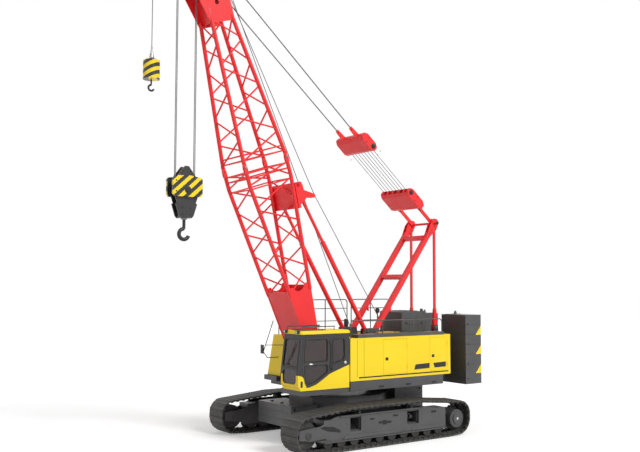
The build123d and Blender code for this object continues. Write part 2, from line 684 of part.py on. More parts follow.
def housing_door(rear, front, side):
    """A flush door leaf."""
    leaf = box((rear, front), (DECK_HALF_Y - HOUSE_SKIN, DECK_HALF_Y), DOOR_Z)
    leaf = leaf.fuse(*hinges(rear, DECK_HALF_Y, HOUSE_HINGES)[1])
    return leaf if side > 0 else mirror(leaf, about=Plane.XZ)


def engine():
    """One plain block in the rear right compartment."""
    name, rear, front = RIGHT_DOORS[1]
    floor = DOOR_Z[0] + ROOM_RIM
    y = (-DECK_HALF_Y + 130, -HOUSE_INNER_Y - 90)
    return box((rear + 200, front - 200), y, (floor, floor + ENGINE_HEIGHT))


def deck_hood():
    """The dark box between the mast legs and the rear links, on its own posts."""
    hood = box(HOOD_X, (-HOOD_HALF_Y, HOOD_HALF_Y), HOOD_Z)
    hood = fillet(hood.edges().filter_by(Axis.Y).group_by(Axis.Z)[-1], 60)
    for x in (HOOD_X[0], HOOD_X[1] - HOOD_POST):
        for y in (-HOOD_HALF_Y + 10, HOOD_HALF_Y - 10 - HOOD_POST):
            hood += box((x, x + HOOD_POST), (y, y + HOOD_POST), (DECK_Z[1], HOOD_Z[0] + 1))
    for z in (HOOD_Z[0] + 200, HOOD_Z[0] + 400):
        hood -= box((HOOD_X[0] + 120, HOOD_X[1] - 120), (HOOD_HALF_Y - 14, HOOD_HALF_Y + 1), (z, z + 40))
    return hood


def winch_frames():
    """Side plates that carry the drum shafts."""
    plates = []
    for name, x, radius in WINCHES:
        foot, top = DECK_Z[1], DRUM_Z + 140
        outline = ((x - 330, foot), (x + 330, foot), (x + 120, top), (x - 120, top))
        plate = plate_xz(outline, DRUM_HALF + RUN, DRUM_HALF + RUN + DRUM_PLATE)
        plate -= pin_y(x, DRUM_Z, AXLE_RADIUS + SEAT, DRUM_HALF, DRUM_HALF + 60)
        plates += both_sides(plate)
    return plates


def drum(x, radius):
    """A rope drum with two flanges and its shaft."""
    made = pin_y(x, DRUM_Z, 0.62 * radius, -DRUM_HALF, DRUM_HALF)
    reach = DRUM_HALF + RUN + DRUM_PLATE
    made += pin_y(x, DRUM_Z, AXLE_RADIUS, -reach, reach)
    for y in (-DRUM_HALF, DRUM_HALF - DRUM_PLATE):
        made += pin_y(x, DRUM_Z, radius + 60, y, y + DRUM_PLATE)
    return made


def counterweight_tray():
    """The bottom slab, hooked to the deck's rear."""
    tray = box(WEIGHT_STACK_X, (-DECK_HALF_Y, DECK_HALF_Y), TRAY_Z)
    tongue_x = (WEIGHT_STACK_X[1] - 5, DECK_REAR_X - SEAT)
    return tray + box(tongue_x, (-DECK_CENTRE_Y, DECK_CENTRE_Y), (TRAY_Z[0] + 120, TRAY_Z[1]))


def counterweight_slabs():
    """Two stacks with a seam between their slabs and a lug on top, and the lower middle block."""
    step = (STACK_TOP_Z - TRAY_Z[1]) / SLAB_COUNT
    plan = (WEIGHT_STACK_X, (STACK_INNER_Y, DECK_HALF_Y))
    stack = box(*plan, (TRAY_Z[1], STACK_TOP_Z))
    core = [(low + SLAB_SEAM, high - SLAB_SEAM) for low, high in plan]
    for number in range(1, SLAB_COUNT):
        seam = TRAY_Z[1] + number * step
        ring = box(*plan, (seam - SLAB_SEAM / 2, seam + SLAB_SEAM / 2))
        stack -= ring - box(*core, (seam - SLAB_SEAM, seam + SLAB_SEAM))
    rear, front = WEIGHT_STACK_X
    stack += Pos((rear + front) / 2, STACK_INNER_Y + 300, STACK_TOP_Z + 60) * Cone(70, 25, 122)
    half_y = STACK_INNER_Y - SEAT
    middle = box((rear + 60, front - 60), (-half_y, half_y), (TRAY_Z[1], STACK_MIDDLE_Z))
    return both_sides(stack) + [middle]


def rail_line(x_rear, x_front, y, foot, top):
    """A rail whose ends bend down into its end posts, as one round tube."""
    corners = ((x_rear, y, foot), (x_rear, y, top), (x_front, y, top), (x_front, y, foot))
    line = FilletPolyline(*corners, radius=RAIL_BEND)
    return sweep(Plane(origin=(x_rear, y, foot), z_dir=(0, 0, 1)) * Circle(RAIL_RADIUS), path=line)


def handrails():
    """Tall rails on the right housing, and the walkway with its low rail on the left one."""
    foot = HOUSE_Z[1]
    rails = []
    for x_rear, x_front in RAIL_SPANS:
        parts = [rail_line(x_rear, x_front, -RAIL_Y, foot, foot + RAIL_HEIGHTS[0])]
        for z in (foot + height for height in RAIL_HEIGHTS[1:]):
            parts.append(bar((x_rear, -RAIL_Y, z), (x_front, -RAIL_Y, z), RAIL_RADIUS - 4))
        posts = ceil((x_front - x_rear) / POST_PITCH)
        for number in range(1, posts):
            x = x_rear + (x_front - x_rear) * number / posts
            parts.append(bar((x, -RAIL_Y, foot), (x, -RAIL_Y, foot + RAIL_HEIGHTS[0]), RAIL_RADIUS))
        rails.append(parts[0].fuse(*parts[1:]))
    x_rear, x_front = LOW_RAIL_X
    parts = [rail_line(x_rear, x_front, RAIL_Y, foot, foot + LOW_RAIL_HEIGHT)]
    for number in (1, 2):
        x = x_rear + (x_front - x_rear) * number / 3
        parts.append(bar((x, RAIL_Y, foot), (x, RAIL_Y, foot + LOW_RAIL_HEIGHT), RAIL_RADIUS))
    walkway = box(WALKWAY_X, WALKWAY_Y, (foot, foot + WALKWAY_HEIGHT))
    return rails + [walkway.fuse(*parts)]


def gantry_mast():
    """Two legs, two crossbeams and the head plates."""
    foot, head = (MAST_X, MAST_Z), (MAST_HEAD_X, MAST_HEAD_Z)
    run = hypot(head[0] - foot[0], head[1] - foot[1])
    along = ((head[0] - foot[0]) / run, (head[1] - foot[1]) / run)
    across = (-along[1], along[0])

    def at(s, n):
        return (foot[0] + along[0] * s + across[0] * n, foot[1] + along[1] * s + across[1] * n)

    half = LEG / 2
    low_y, high_y = MAST_Y - half, MAST_Y + half
    neck = run - 350
    outline = (at(0, -60), at(250, -half), at(neck, -half), at(neck, half), at(250, half), at(0, 60))
    leg = plate_xz(outline, low_y, high_y)
    lug = (at(LEG_LUG_S, half - 1), at(LEG_LUG_S + 180, half - 1), at(LEG_LUG_S + 20, half + 140))
    leg += plate_xz(lug, MAST_Y - 20, MAST_Y + 20)
    leg += pin_y(*foot, 110, low_y, high_y)
    leg -= pin_y(*foot, GANTRY_PIN_RADIUS + SEAT, low_y - 1, high_y + 1)
    mast = leg + mirror(leg, about=Plane.XZ)
    for s in CROSSBEAM_S:
        mast += plate_xz((at(s, -60), at(s + 130, -60), at(s + 130, 60), at(s, 60)), -MAST_Y, MAST_Y)
    head_plate = (at(run - 520, -half), at(run - 160, -165), at(run + 90, -150), at(run + 165, -20),
                  at(run + 120, 110), at(run - 160, 165), at(run - 520, half))
    for y in (low_y, high_y - HEAD_PLATE):
        mast += both_sides(plate_xz(head_plate, y, y + HEAD_PLATE))
    return mast + pin_y(*head, HEAD_PIN_RADIUS, -high_y - HEAD_PIN_PROUD, high_y + HEAD_PIN_PROUD)


def rear_links():
    """The two tie bars between the deck's rear and the mast head."""
    low_y, high_y = MAST_Y - LINK_HALF, MAST_Y + LINK_HALF
    link = box((MAST_HEAD_X - 42, MAST_HEAD_X + 42), (MAST_Y - 25, MAST_Y + 25), (LINK_FOOT_Z, MAST_HEAD_Z))
    foot = ((-42, 650), (-82, 260), (-60, 0), (60, 0), (82, 260), (42, 650))
    link += plate_xz([(MAST_HEAD_X + x, LINK_FOOT_Z + z) for x, z in foot], low_y, high_y)
    for z in (LINK_FOOT_Z, MAST_HEAD_Z):
        link += pin_y(MAST_HEAD_X, z, 85, low_y, high_y)
        link -= pin_y(MAST_HEAD_X, z, HEAD_PIN_RADIUS + SEAT, low_y - 1, high_y + 1)
    return both_sides(link)


def sheave_hull(blunt_s, nose_s):
    """The body of a luffing block: blunt at its lugs, rounded at its ropes, with sheaves in its mouth."""
    toward = 1 if nose_s > blunt_s else -1
    shoulder, throat = blunt_s + toward * HULL_TAPER, nose_s - toward * HULL_TAPER
    outline = [on_line(s, n) for s, n in (
        (blunt_s, -HULL_BLUNT), (shoulder, -HULL_HALF), (throat, -HULL_HALF), (nose_s, -HULL_BLUNT),
        (nose_s, HULL_BLUNT), (throat, HULL_HALF), (shoulder, HULL_HALF), (blunt_s, HULL_BLUNT))]
    hull = plate_xz(outline, -HULL_HALF_Y, HULL_HALF_Y)
    hull = fillet(hull.edges().filter_by(Axis.Y), HULL_RADIUS)
    back_s, front_s = nose_s - toward * 300, nose_s + toward * 10
    mouth = [on_line(s, n) for s, n in ((back_s, -90), (front_s, -90), (front_s, 90), (back_s, 90))]
    hull -= plate_xz(mouth, -HULL_HALF_Y + 90, HULL_HALF_Y - 90)
    x, z = on_line(nose_s - toward * (BLOCK_SHEAVE_RADIUS + 20), 0)
    hull += pin_y(x, z, AXLE_RADIUS, -HULL_HALF_Y - 25, HULL_HALF_Y + 25)
    for y in BLOCK_SHEAVES_Y:
        hull += pin_y(x, z, BLOCK_SHEAVE_RADIUS, y - SHEAVE_WIDTH / 2, y + SHEAVE_WIDTH / 2)
    return hull


def luffing_block():
    """The sheave block on its two short links at the mast head."""
    y_high = MAST_Y - LEG / 2 - RUN
    y_low = y_high - 40
    reach = BLOCK_S[0] + HULL_TAPER
    outline = (on_line(-70, -60), on_line(reach, -60), on_line(reach, 60), on_line(-70, 60))
    link = plate_xz(outline, y_low, y_high)
    link += pin_y(*on_line(BLOCK_S[0] - 60, 0), 45, y_low - 40, y_high + 60)
    link -= pin_y(MAST_HEAD_X, MAST_HEAD_Z, HEAD_PIN_RADIUS + SEAT, y_low - 1, y_high + 1)
    return sheave_hull(*BLOCK_S).fuse(*both_sides(link))


def spreader():
    """The moving block with its two pendant lugs."""
    root, tip = SPREADER_S[0] - HULL_TAPER, SPREADER_LUG_S
    y_low, y_high = SPREADER_LUG_Y
    outline = (on_line(root, -90), on_line(tip, -50), on_line(tip, 50), on_line(root, 90))
    lug = plate_xz(outline, y_low, y_high)
    lug += pin_y(*on_line(tip - 70, 0), 32, y_low - 30, y_high + 30)
    return sheave_hull(*SPREADER_S).fuse(*both_sides(lug))


def pendants():
    """One bar pendant each side, from the spreader's lug to the boom head."""
    places = ((SPREADER_LUG_S + SEAT, sum(SPREADER_LUG_Y) / 2), (LINE_LENGTH - 1200, PENDANT_Y),
              (LINE_LENGTH - 120, PENDANT_Y))
    start, bend, end = [(x, y, z) for (x, z), y in ((on_line(s, 0), y) for s, y in places)]
    body = bar(start, bend, PENDANT_RADIUS) + bar(bend, end, PENDANT_RADIUS)
    low_s, high_s = LINE_LENGTH - 140, LINE_LENGTH + 80
    outline = (on_line(low_s, -60), on_line(high_s, -70), on_line(high_s, 70), on_line(low_s, 60))
    eye = plate_xz(outline, PENDANT_Y - PENDANT_EYE / 2, PENDANT_Y + PENDANT_EYE / 2)
    return both_sides(body + eye)


# Boom
def face_lacing(first, second, bays):
    """Zigzag lacing of one face between two chords, given as lists of points at equal stations."""
    bars = []
    for number in range(bays):
        a, b = (first, second) if number % 2 == 0 else (second, first)
        start = between(a[number], a[number + 1], LACE_SHIFT)
        end = between(b[number + 1], b[number], LACE_SHIFT)
        bars.append(bar(start, end, LACE_RADIUS, 6))
    return bars


def cross_frame(u, front_v, rear_v, half_y):
    """Four bars that tie the chords together at one place."""
    corners = [boom_point(u, v, y) for v, y in
               ((front_v, -half_y), (front_v, half_y), (rear_v, half_y), (rear_v, -half_y))]
    return [bar(start, end, CROSS_RADIUS, 6) for start, end in zip(corners, corners[1:] + corners[:1])]


def between(start, end, share):
    """The point that lies the given share of the way from start to end."""
    return tuple(a + (b - a) * share for a, b in zip(start, end))


def stations(start, end, count):
    """Points at equal steps along a straight chord."""
    return [between(start, end, number / count) for number in range(count + 1)]


def lattice(low, high, bays):
    """Four chords and the staggered lacing of the faces; low and high give (u, front v, rear v, y)."""
    chords = []
    for index, side in ((1, -1), (1, 1), (2, 1), (2, -1)):
        start = boom_point(low[0], low[index], side * low[3])
        end = boom_point(high[0], high[index], side * high[3])
        chords.append(stations(start, end, bays))
    shapes = [bar(points[0], points[-1], CHORD_RADIUS) for points in chords]
    for first, second in zip(chords, chords[1:] + chords[:1]):
        shapes += face_lacing(first, second, bays)
    return shapes


def joint_lugs(side):
    """The pinned ends at the joint between the sections: forks on the base section, eyes on the top one."""
    lugs = []
    low_u, high_u = sorted((JOINT_U, JOINT_U - side * (JOINT_REACH + 40)))
    corners = ((low_u, -CHORD_RADIUS), (high_u, -CHORD_RADIUS), (high_u, CHORD_RADIUS), (low_u, CHORD_RADIUS))
    for v in JOINT_V:
        x, z = on_boom(JOINT_U, v)
        outline = [on_boom(u, v + w) for u, w in corners]
        for y in (-CHORD_Y, CHORD_Y):
            if side > 0:
                for low, high in ((y - FORK_Y[1], y - FORK_Y[0]), (y + FORK_Y[0], y + FORK_Y[1])):
                    lugs.append(plate_xz(outline, low, high) + pin_y(x, z, CHORD_RADIUS, low, high))
                lugs.append(pin_y(x, z, JOINT_PIN_RADIUS, y - FORK_Y[1] - 15, y + FORK_Y[1] + 15))
            else:
                low, high = y - FORK_Y[0] + SEAT, y + FORK_Y[0] - SEAT
                eye = plate_xz(outline, low, high) + pin_y(x, z, CHORD_RADIUS, low, high)
                lugs.append(eye - pin_y(x, z, JOINT_PIN_RADIUS + SEAT, low - 1, high + 1))
    return lugs


def chord_v(u, index):
    """Place of the base section's front (0) or rear (1) chord across the boom."""
    return FOOT_V[index] + (JOINT_V[index] - FOOT_V[index]) * min(u, KINK_U) / KINK_U


def boom_base():
    """Foot plates, the tapered base section and the forks at its end."""
    low_u = FOOT_PLATE_U - 230
    shapes = lattice((low_u, chord_v(low_u, 0), chord_v(low_u, 1), CHORD_Y), (KINK_U, *JOINT_V, CHORD_Y), 5)
    shapes += lattice((KINK_U, *JOINT_V, CHORD_Y), (JOINT_U - JOINT_REACH, *JOINT_V, CHORD_Y), 1)
    for step in FRAME_STEPS:
        shapes += cross_frame(JOINT_U - step, *JOINT_V, CHORD_Y)
    shapes += cross_frame(KINK_U - 90, chord_v(KINK_U - 90, 0), chord_v(KINK_U - 90, 1), CHORD_Y)
    shapes += joint_lugs(1)
    top = FOOT_PLATE_U
    rear_v, front_v = chord_v(top, 1), chord_v(top, 0)
    outline = [on_boom(u, v) for u, v in (
        (-60, -120), (60, -140), (top, rear_v - 40), (top, front_v + 40), (60, 130), (-60, 110))]
    notch_x, notch_z = on_boom(top + 60, (front_v + rear_v) / 2)
    side = plate_xz(outline, CHORD_Y - PLATE / 2, CHORD_Y + PLATE / 2)
    side -= pin_y(notch_x, notch_z, FOOT_NOTCH_RADIUS, CHORD_Y - PLATE, CHORD_Y + PLATE)
    side += pin_y(FOOT_X, FOOT_Z, FOOT_BOSS_RADIUS, *FOOT_BOSS_Y)
    side -= pin_y(FOOT_X, FOOT_Z, FOOT_PIN_RADIUS + SEAT, FOOT_BOSS_Y[0] - 1, FOOT_BOSS_Y[1] + 1)
    for index, sign in ((0, 1), (1, -1)):
        face = [(u, chord_v(u, index) + sign * t) for u, t in (
            (WEB_U, 0), (top - 100, 0), (top - 100, PLATE), (WEB_U, PLATE))]
        shapes.append(plate_xz([on_boom(u, v) for u, v in face], -CHORD_Y, CHORD_Y))
    brace = [on_boom(u, v) for u, v in ((WEB_U, 60), (WEB_U + 60, 60), (WEB_U + 60, -60), (WEB_U, -60))]
    shapes.append(plate_xz(brace, -CHORD_Y, CHORD_Y))
    return side.fuse(mirror(side, about=Plane.XZ), *shapes)


def boom_top():
    """Eyes, the tapered top section, its head plates, cover and crossbars."""
    start_u = JOINT_U + JOINT_REACH
    shapes = lattice((start_u, *JOINT_V, CHORD_Y), (HEAD_U, *HEAD_V, HEAD_CHORD_Y), 6)
    for step in FRAME_STEPS:
        share = (step - JOINT_REACH) / (HEAD_U - start_u)
        front, rear = (a + (b - a) * share for a, b in zip(JOINT_V, HEAD_V))
        shapes += cross_frame(JOINT_U + step, front, rear, CHORD_Y + (HEAD_CHORD_Y - CHORD_Y) * share)
    shapes += joint_lugs(-1)
    outline = [on_boom(u, v) for u, v in (
        (HEAD_U - 150, HEAD_V[1] - 60), (GUIDE_U - 200, GUIDE_V), (PENDANT_U - 60, PENDANT_V - 110),
        (PENDANT_U + 120, PENDANT_V - 60), (HEAD_SHEAVE_U, HEAD_SHEAVE_V - 810),
        (HEAD_SHEAVE_U + 500, HEAD_SHEAVE_V - 460), (TIP_U + 150, TIP_V - 80), (TIP_U + 100, TIP_V + 120),
        (TIP_U - 120, TIP_V + 100), (HEAD_SHEAVE_U + 150, HEAD_SHEAVE_V + 260),
        (HEAD_SHEAVE_U - 250, HEAD_SHEAVE_V + 200), (HEAD_U - 150, HEAD_V[0] + 60))]
    inner, outer = HEAD_PLATE_Y - PLATE, HEAD_PLATE_Y
    plate = plate_xz(outline, inner, outer)
    sheaves = ((HEAD_SHEAVE_U, HEAD_SHEAVE_V), (GUIDE_U, GUIDE_V), (TIP_U, TIP_V))
    for u, v in sheaves:
        plate += pin_y(*on_boom(u, v), 2.4 * AXLE_RADIUS, inner, outer)
        plate -= pin_y(*on_boom(u, v), AXLE_RADIUS + SEAT, inner - 1, outer + 1)
    plate -= pin_y(*on_boom(JIB_PIN_U, JIB_PIN_V), JIB_PIN_RADIUS, inner - 1, outer + 1)
    plate -= pin_y(*on_boom(HEAD_U + 420, 60), HEAD_HOLE_RADIUS, inner - 1, outer + 1)
    plate += pin_y(PENDANT_X, PENDANT_Z, 70, inner, PENDANT_Y - PENDANT_EYE / 2 - ROPE_SEAT)
    shapes += both_sides(plate)
    cover_v = HEAD_V[0] - 50
    cover = [on_boom(u, v) for u, v in ((HEAD_U - 100, cover_v), (HEAD_U + 600, cover_v),
                                        (HEAD_U + 600, cover_v - 16), (HEAD_U - 100, cover_v - 16))]
    shapes.append(plate_xz(cover, -inner - 1, inner + 1))
    for u, v in ((HEAD_SHEAVE_U - 250, HEAD_SHEAVE_V - 600), (JIB_PIN_U - 80, HEAD_SHEAVE_V + 340)):
        shapes.append(pin_y(*on_boom(u, v), 50, -outer, outer))
    return shapes[0].fuse(*shapes[1:])


def backstop_beam():
    """The box on the boom's rear face, its ears for the backstops and the arm with the rope roller."""
    u_low, u_high = STOP_U - 330, STOP_U + 400
    skin = CHORD_RADIUS + 2 * SEAT
    low_v, high_v = chord_v(u_low, 1) - skin, chord_v(u_high, 1) - skin
    half_y = CHORD_Y + CHORD_RADIUS
    back = [on_boom(u, v) for u, v in (
        (u_low, low_v), (u_high, high_v), (u_high, high_v - PLATE), (u_low, low_v - PLATE))]
    beam = plate_xz(back, -half_y, half_y)
    for u, depth in ((u_low, 90), (u_high - PLATE, 170)):
        v = chord_v(u, 1) - skin - PLATE / 2
        corners = ((u, v), (u + PLATE, v), (u + PLATE, v - depth), (u, v - depth))
        beam += plate_xz([on_boom(*corner) for corner in corners], -half_y, half_y)
    end = [on_boom(u, v) for u, v in ((u_low, low_v), (u_high, high_v), (u_high, high_v - 250),
                                      (u_low + 350, low_v - 220), (u_low, low_v - 70))]
    beam += both_sides(plate_xz(end, half_y - 20, half_y))
    beam += pin_y(*on_boom(u_high - 10, high_v - 130), 55, -half_y - 75, half_y + 75)
    ear = [on_boom(u, v) for u, v in ((u_low + 40, low_v), (u_high, high_v), (u_high - 60, STOP_V - 130),
                                      (STOP_U - 120, STOP_V - 130))]
    half = STOP_ROD_RADIUS + 2 * RUN
    for y_low, y_high in ((STOP_Y - half - 20, STOP_Y - half), (STOP_Y + half, STOP_Y + half + 20)):
        beam += both_sides(plate_xz(ear, y_low, y_high))
    root = (u_high - 60, high_v - 100)
    arm = [on_boom(u, v) for u, v in (
        root, (root[0], root[1] - 200), (ROLLER_U + 50, ROLLER_V - 40), (ROLLER_U - 50, ROLLER_V + 20),
        (root[0] - 330, root[1] - 60), (root[0] - 330, root[1] + 60))]
    for y in (-ROLLER_HALF_Y - 16, ROLLER_HALF_Y):
        beam += plate_xz(arm, y, y + 16)
    beam += pin_y(*on_boom(ROLLER_U, ROLLER_V), ROPE_ROLLER_RADIUS, -ROLLER_HALF_Y - 1, ROLLER_HALF_Y + 1)
    return beam


def sheave(x, z, radius, rope_radius, y):
    """A grooved sheave about an axis along Y."""
    half = SHEAVE_WIDTH / 2
    root_half = ROPE_RADIUS + 2
    groove = rope_radius - ROPE_RADIUS - ROPE_SEAT
    profile = ((0, -half), (radius, -half), (radius, -half + 8), (groove, -root_half), (groove, root_half),
               (radius, half - 8), (radius, half), (0, half))
    sketch = Plane.XZ * Polygon(*profile, align=None)
    return Pos(x, y, z) * Rot(90, 0, 0) * revolve(sketch, Axis.Z)


def sheave_stack(u, v, radius, rope_radius, places):
    """Sheaves side by side on one axle through both head plates."""
    x, z = on_boom(u, v)
    stack = pin_y(x, z, AXLE_RADIUS, -HEAD_PLATE_Y, HEAD_PLATE_Y)
    for y in places:
        stack += sheave(x, z, radius, rope_radius, y)
    return stack


# Hooks
def falls():
    """Four parallel falls from the head sheaves to the hook block."""
    top_z = on_boom(HEAD_SHEAVE_U, HEAD_SHEAVE_V)[1]
    return [bar((x, y, HOOK_SHEAVE_Z), (x, y, top_z), ROPE_RADIUS)
            for x in (HEAD_X - HEAD_FALL_RADIUS, HEAD_X + HEAD_FALL_RADIUS)
            for y in (-SHEAVE_PITCH / 2, SHEAVE_PITCH / 2)]


def hook_block():
    """Tapered cheeks, the weight plates bolted on them, the sheaves and the crosshead."""
    cheek, weight = [[(HEAD_X + x, z) for x, z in points] + [(HEAD_X - x, z) for x, z in points[::-1]]
                     for points in (BLOCK_OUTLINE, WEIGHT_OUTLINE)]
    inner, middle, outer = BLOCK_Y
    side = plate_xz(cheek, inner, middle) + plate_xz(weight, middle - 1, outer)
    shape = side + mirror(side, about=Plane.XZ)
    shape += box((HEAD_X - 180, HEAD_X + 180), (-inner - 1, inner + 1), (HOOK_BLOCK_Z, HOOK_BLOCK_Z + 200))
    shape += pin_y(HEAD_X, HOOK_SHEAVE_Z, AXLE_RADIUS, -outer - 20, outer + 20)
    for y in (-SHEAVE_PITCH / 2, SHEAVE_PITCH / 2):
        shape += sheave(HEAD_X, HOOK_SHEAVE_Z, HEAD_SHEAVE_RADIUS, HEAD_FALL_RADIUS, y)
    return shape


def hook(x, top, bend_radius, thick):
    """A forged hook: shank, nut collar and bowl."""
    centre = top - 3.0 * bend_radius
    shape = Pos(x, 0, (top + centre + bend_radius) / 2) * Cylinder(thick * 0.8, top - centre - bend_radius)
    ring = Circle(thick)
    section = Plane(origin=(x, 0, centre + bend_radius), x_dir=(0, 1, 0), z_dir=(1, 0, 0)) * ring
    bowl = revolve(section, Axis((x, 0, centre), (0, 1, 0)), 250)
    return shape + bowl


def aux_weight():
    """The auxiliary rope and the weight above its hook."""
    top_z = on_boom(TIP_U, TIP_V)[1]
    rope = bar((AUX_X, 0, AUX_WEIGHT_Z), (AUX_X, 0, top_z), ROPE_RADIUS)
    height = AUX_WEIGHT_Z - AUX_HOOK_Z
    body = Pos(AUX_X, 0, AUX_HOOK_Z + height / 2) * Cylinder(AUX_WEIGHT_RADIUS, height)
    shoulder = Pos(AUX_X, 0, AUX_WEIGHT_Z + AUX_SHOULDER / 2) * Cone(AUX_WEIGHT_RADIUS, 60, AUX_SHOULDER)
    return body + shoulder + rope


def tangent(start, start_radius, end, end_radius):
    """The run that touches two circles on their rear sides, or in front where a radius is negative."""
    angle = atan2(end[1] - start[1], end[0] - start[0])
    tilt = asin((start_radius - end_radius) / hypot(end[0] - start[0], end[1] - start[1]))
    side = angle - pi / 2 + tilt
    return [(x + radius * cos(side), z + radius * sin(side))
            for (x, z), radius in ((start, start_radius), (end, end_radius))]


def hoist_lines():
    """The main line over the roller towards its drum, and the auxiliary line beside it."""
    guide, roller = on_boom(GUIDE_U, GUIDE_V), on_boom(ROLLER_U, ROLLER_V)
    aux, main_drum = [((x, DRUM_Z), radius) for name, x, radius in WINCHES[:2]]
    start = (guide, GUIDE_FALL_RADIUS)
    over = (roller, ROPE_ROLLER_RADIUS + ROPE_RADIUS + ROPE_SEAT)
    lines = []
    for y, runs in ((0, (tangent(*start, *over), tangent(*over, *main_drum))),
                    (GUIDE_PITCH, (tangent(*start, aux[0], -aux[1]),))):
        top, bottom = runs[-1]
        share = (top[1] - LINE_END_Z) / (top[1] - bottom[1])
        places = [runs[0][0], *[run[0] for run in runs[1:]], between(top, bottom, share)]
        points = [(x, y, z) for x, z in places]
        bars = [bar(a, b, ROPE_RADIUS) for a, b in zip(points, points[1:])]
        bars += [Pos(*point) * Sphere(ROPE_RADIUS) for point in points[1:-1]]
        lines.append(bars[0].fuse(*bars[1:]) if len(bars) > 1 else bars[0])
    return lines


def backstop(low, high, radius, y):
    """A round bar in the backstop's line, given as distances from its lower pin."""
    x, z = on_boom(STOP_U, STOP_V)
    run = hypot(x - STOP_X, z - STOP_Z)
    along = ((x - STOP_X) / run, (z - STOP_Z) / run)
    ends = [(STOP_X + along[0] * s, y, STOP_Z + along[1] * s) for s in (low, high)]
    return bar(*ends, radius)


def backstop_tubes():
    """Outer tubes with their lower eyes."""
    tube = backstop(0, STOP_TUBE_LENGTH, STOP_TUBE_RADIUS, STOP_Y)
    tube -= backstop(300, STOP_TUBE_LENGTH + 10, STOP_ROD_RADIUS + SEAT, STOP_Y)
    tube += pin_y(STOP_X, STOP_Z, 95, STOP_Y - 50, STOP_Y + 50)
    tube -= pin_y(STOP_X, STOP_Z, GANTRY_PIN_RADIUS + SEAT, STOP_Y - 100, STOP_Y + 100)
    return both_sides(tube)


def backstop_rods():
    """Inner rods with their upper eyes."""
    x, z = on_boom(STOP_U, STOP_V)
    run = hypot(x - STOP_X, z - STOP_Z)
    return both_sides(backstop(STOP_ROD_START, run, STOP_ROD_RADIUS, STOP_Y))


def main():
    for side, name in ((1, "left"), (-1, "right")):
        save(f"track_{name}", track(side))
        save(f"side_frame_{name}", side_frame(side))
    save("sprockets", both_sides(sprocket()))
    save("idlers", both_sides(idler()))
    save("travel_drives", both_sides(travel_drive()))
    one_side = rollers()
    save("rollers", one_side, [mirror(item, about=Plane.XZ) for item in one_side])
    save("carbody", carbody())
    save("carbody_weights", carbody_weights())
    ring_low = BODY_Z[1]
    save("slew_ring_fixed", slew_ring(ring_low, ring_low + RING_HEIGHT - RING_GAP, RING_RADIUS))
    save("slew_ring_turning", slew_ring(ring_low + RING_HEIGHT, DECK_Z[0], RING_RADIUS - 60))
    save("deck_frame", deck_frame())
    save("cab_shell", cab_shell())
    save("cab_glass", cab_glass())
    save("cab_door", cab_door())
    pane_y = CAB_Y[1] - CAB_WALL / 2
    save("cab_door_glass", [plate_xz(window, pane_y - GLASS, pane_y) for window in (DOOR_UPPER, DOOR_LOWER)])
    save("cab_roof", cab_roof())
    save("cab_seat", cab_seat())
    save("cab_console", cab_console())
    save("cab_guard", cab_guard())
    save("left_housing", left_housing())
    save("right_housing", right_housing())
    for name, rear, front in LEFT_DOORS:
        save(name, housing_door(rear, front, 1))
    for name, rear, front in RIGHT_DOORS:
        save(name, housing_door(rear, front, -1))
    save("engine", engine())
    save("deck_hood", deck_hood())
    save("winch_frames", winch_frames())
    for name, x, radius in WINCHES:
        save(name, drum(x, radius))
    save("counterweight_tray", counterweight_tray())
    save("counterweight_slabs", counterweight_slabs())
    save("handrails", handrails())
    save("gantry_mast", gantry_mast())
    save("gantry_links", rear_links())
    save("luffing_block", luffing_block())
    save("spreader", spreader())
    save("pendants", pendants())
    save("boom_base", boom_base())
    save("boom_top", boom_top())
    save("backstop_beam", backstop_beam())
    save("backstop_tubes", backstop_tubes())
    save("backstop_rods", backstop_rods())
    half = SHEAVE_PITCH / 2
    save("head_sheaves", sheave_stack(HEAD_SHEAVE_U, HEAD_SHEAVE_V, HEAD_SHEAVE_RADIUS, HEAD_FALL_RADIUS,
                                      (-3 * half, -half, half, 3 * half)))
    save("guide_sheaves", sheave_stack(GUIDE_U, GUIDE_V, GUIDE_RADIUS, GUIDE_FALL_RADIUS,
                                       (-GUIDE_PITCH, 0, GUIDE_PITCH)))
    save("tip_sheave", sheave_stack(TIP_U, TIP_V, TIP_RADIUS, TIP_FALL_RADIUS, (0,)))
    save("main_falls", falls())
    save("main_hook_block", hook_block())
    save("main_hook", hook(HEAD_X, HOOK_BLOCK_Z - SEAT, 150, 55))
    save("hoist_lines", hoist_lines())
    save("aux_weight", aux_weight())
    save("aux_hook", hook(AUX_X, AUX_HOOK_Z - SEAT, 80, 28))


main()
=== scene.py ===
"""Looks of the crawler crane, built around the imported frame. Metres; +X forward, +Y left, +Z up."""

from math import asin, atan2, cos, hypot, pi, radians, sin, tan

import bmesh
import bpy
from mathutils import Matrix, Vector


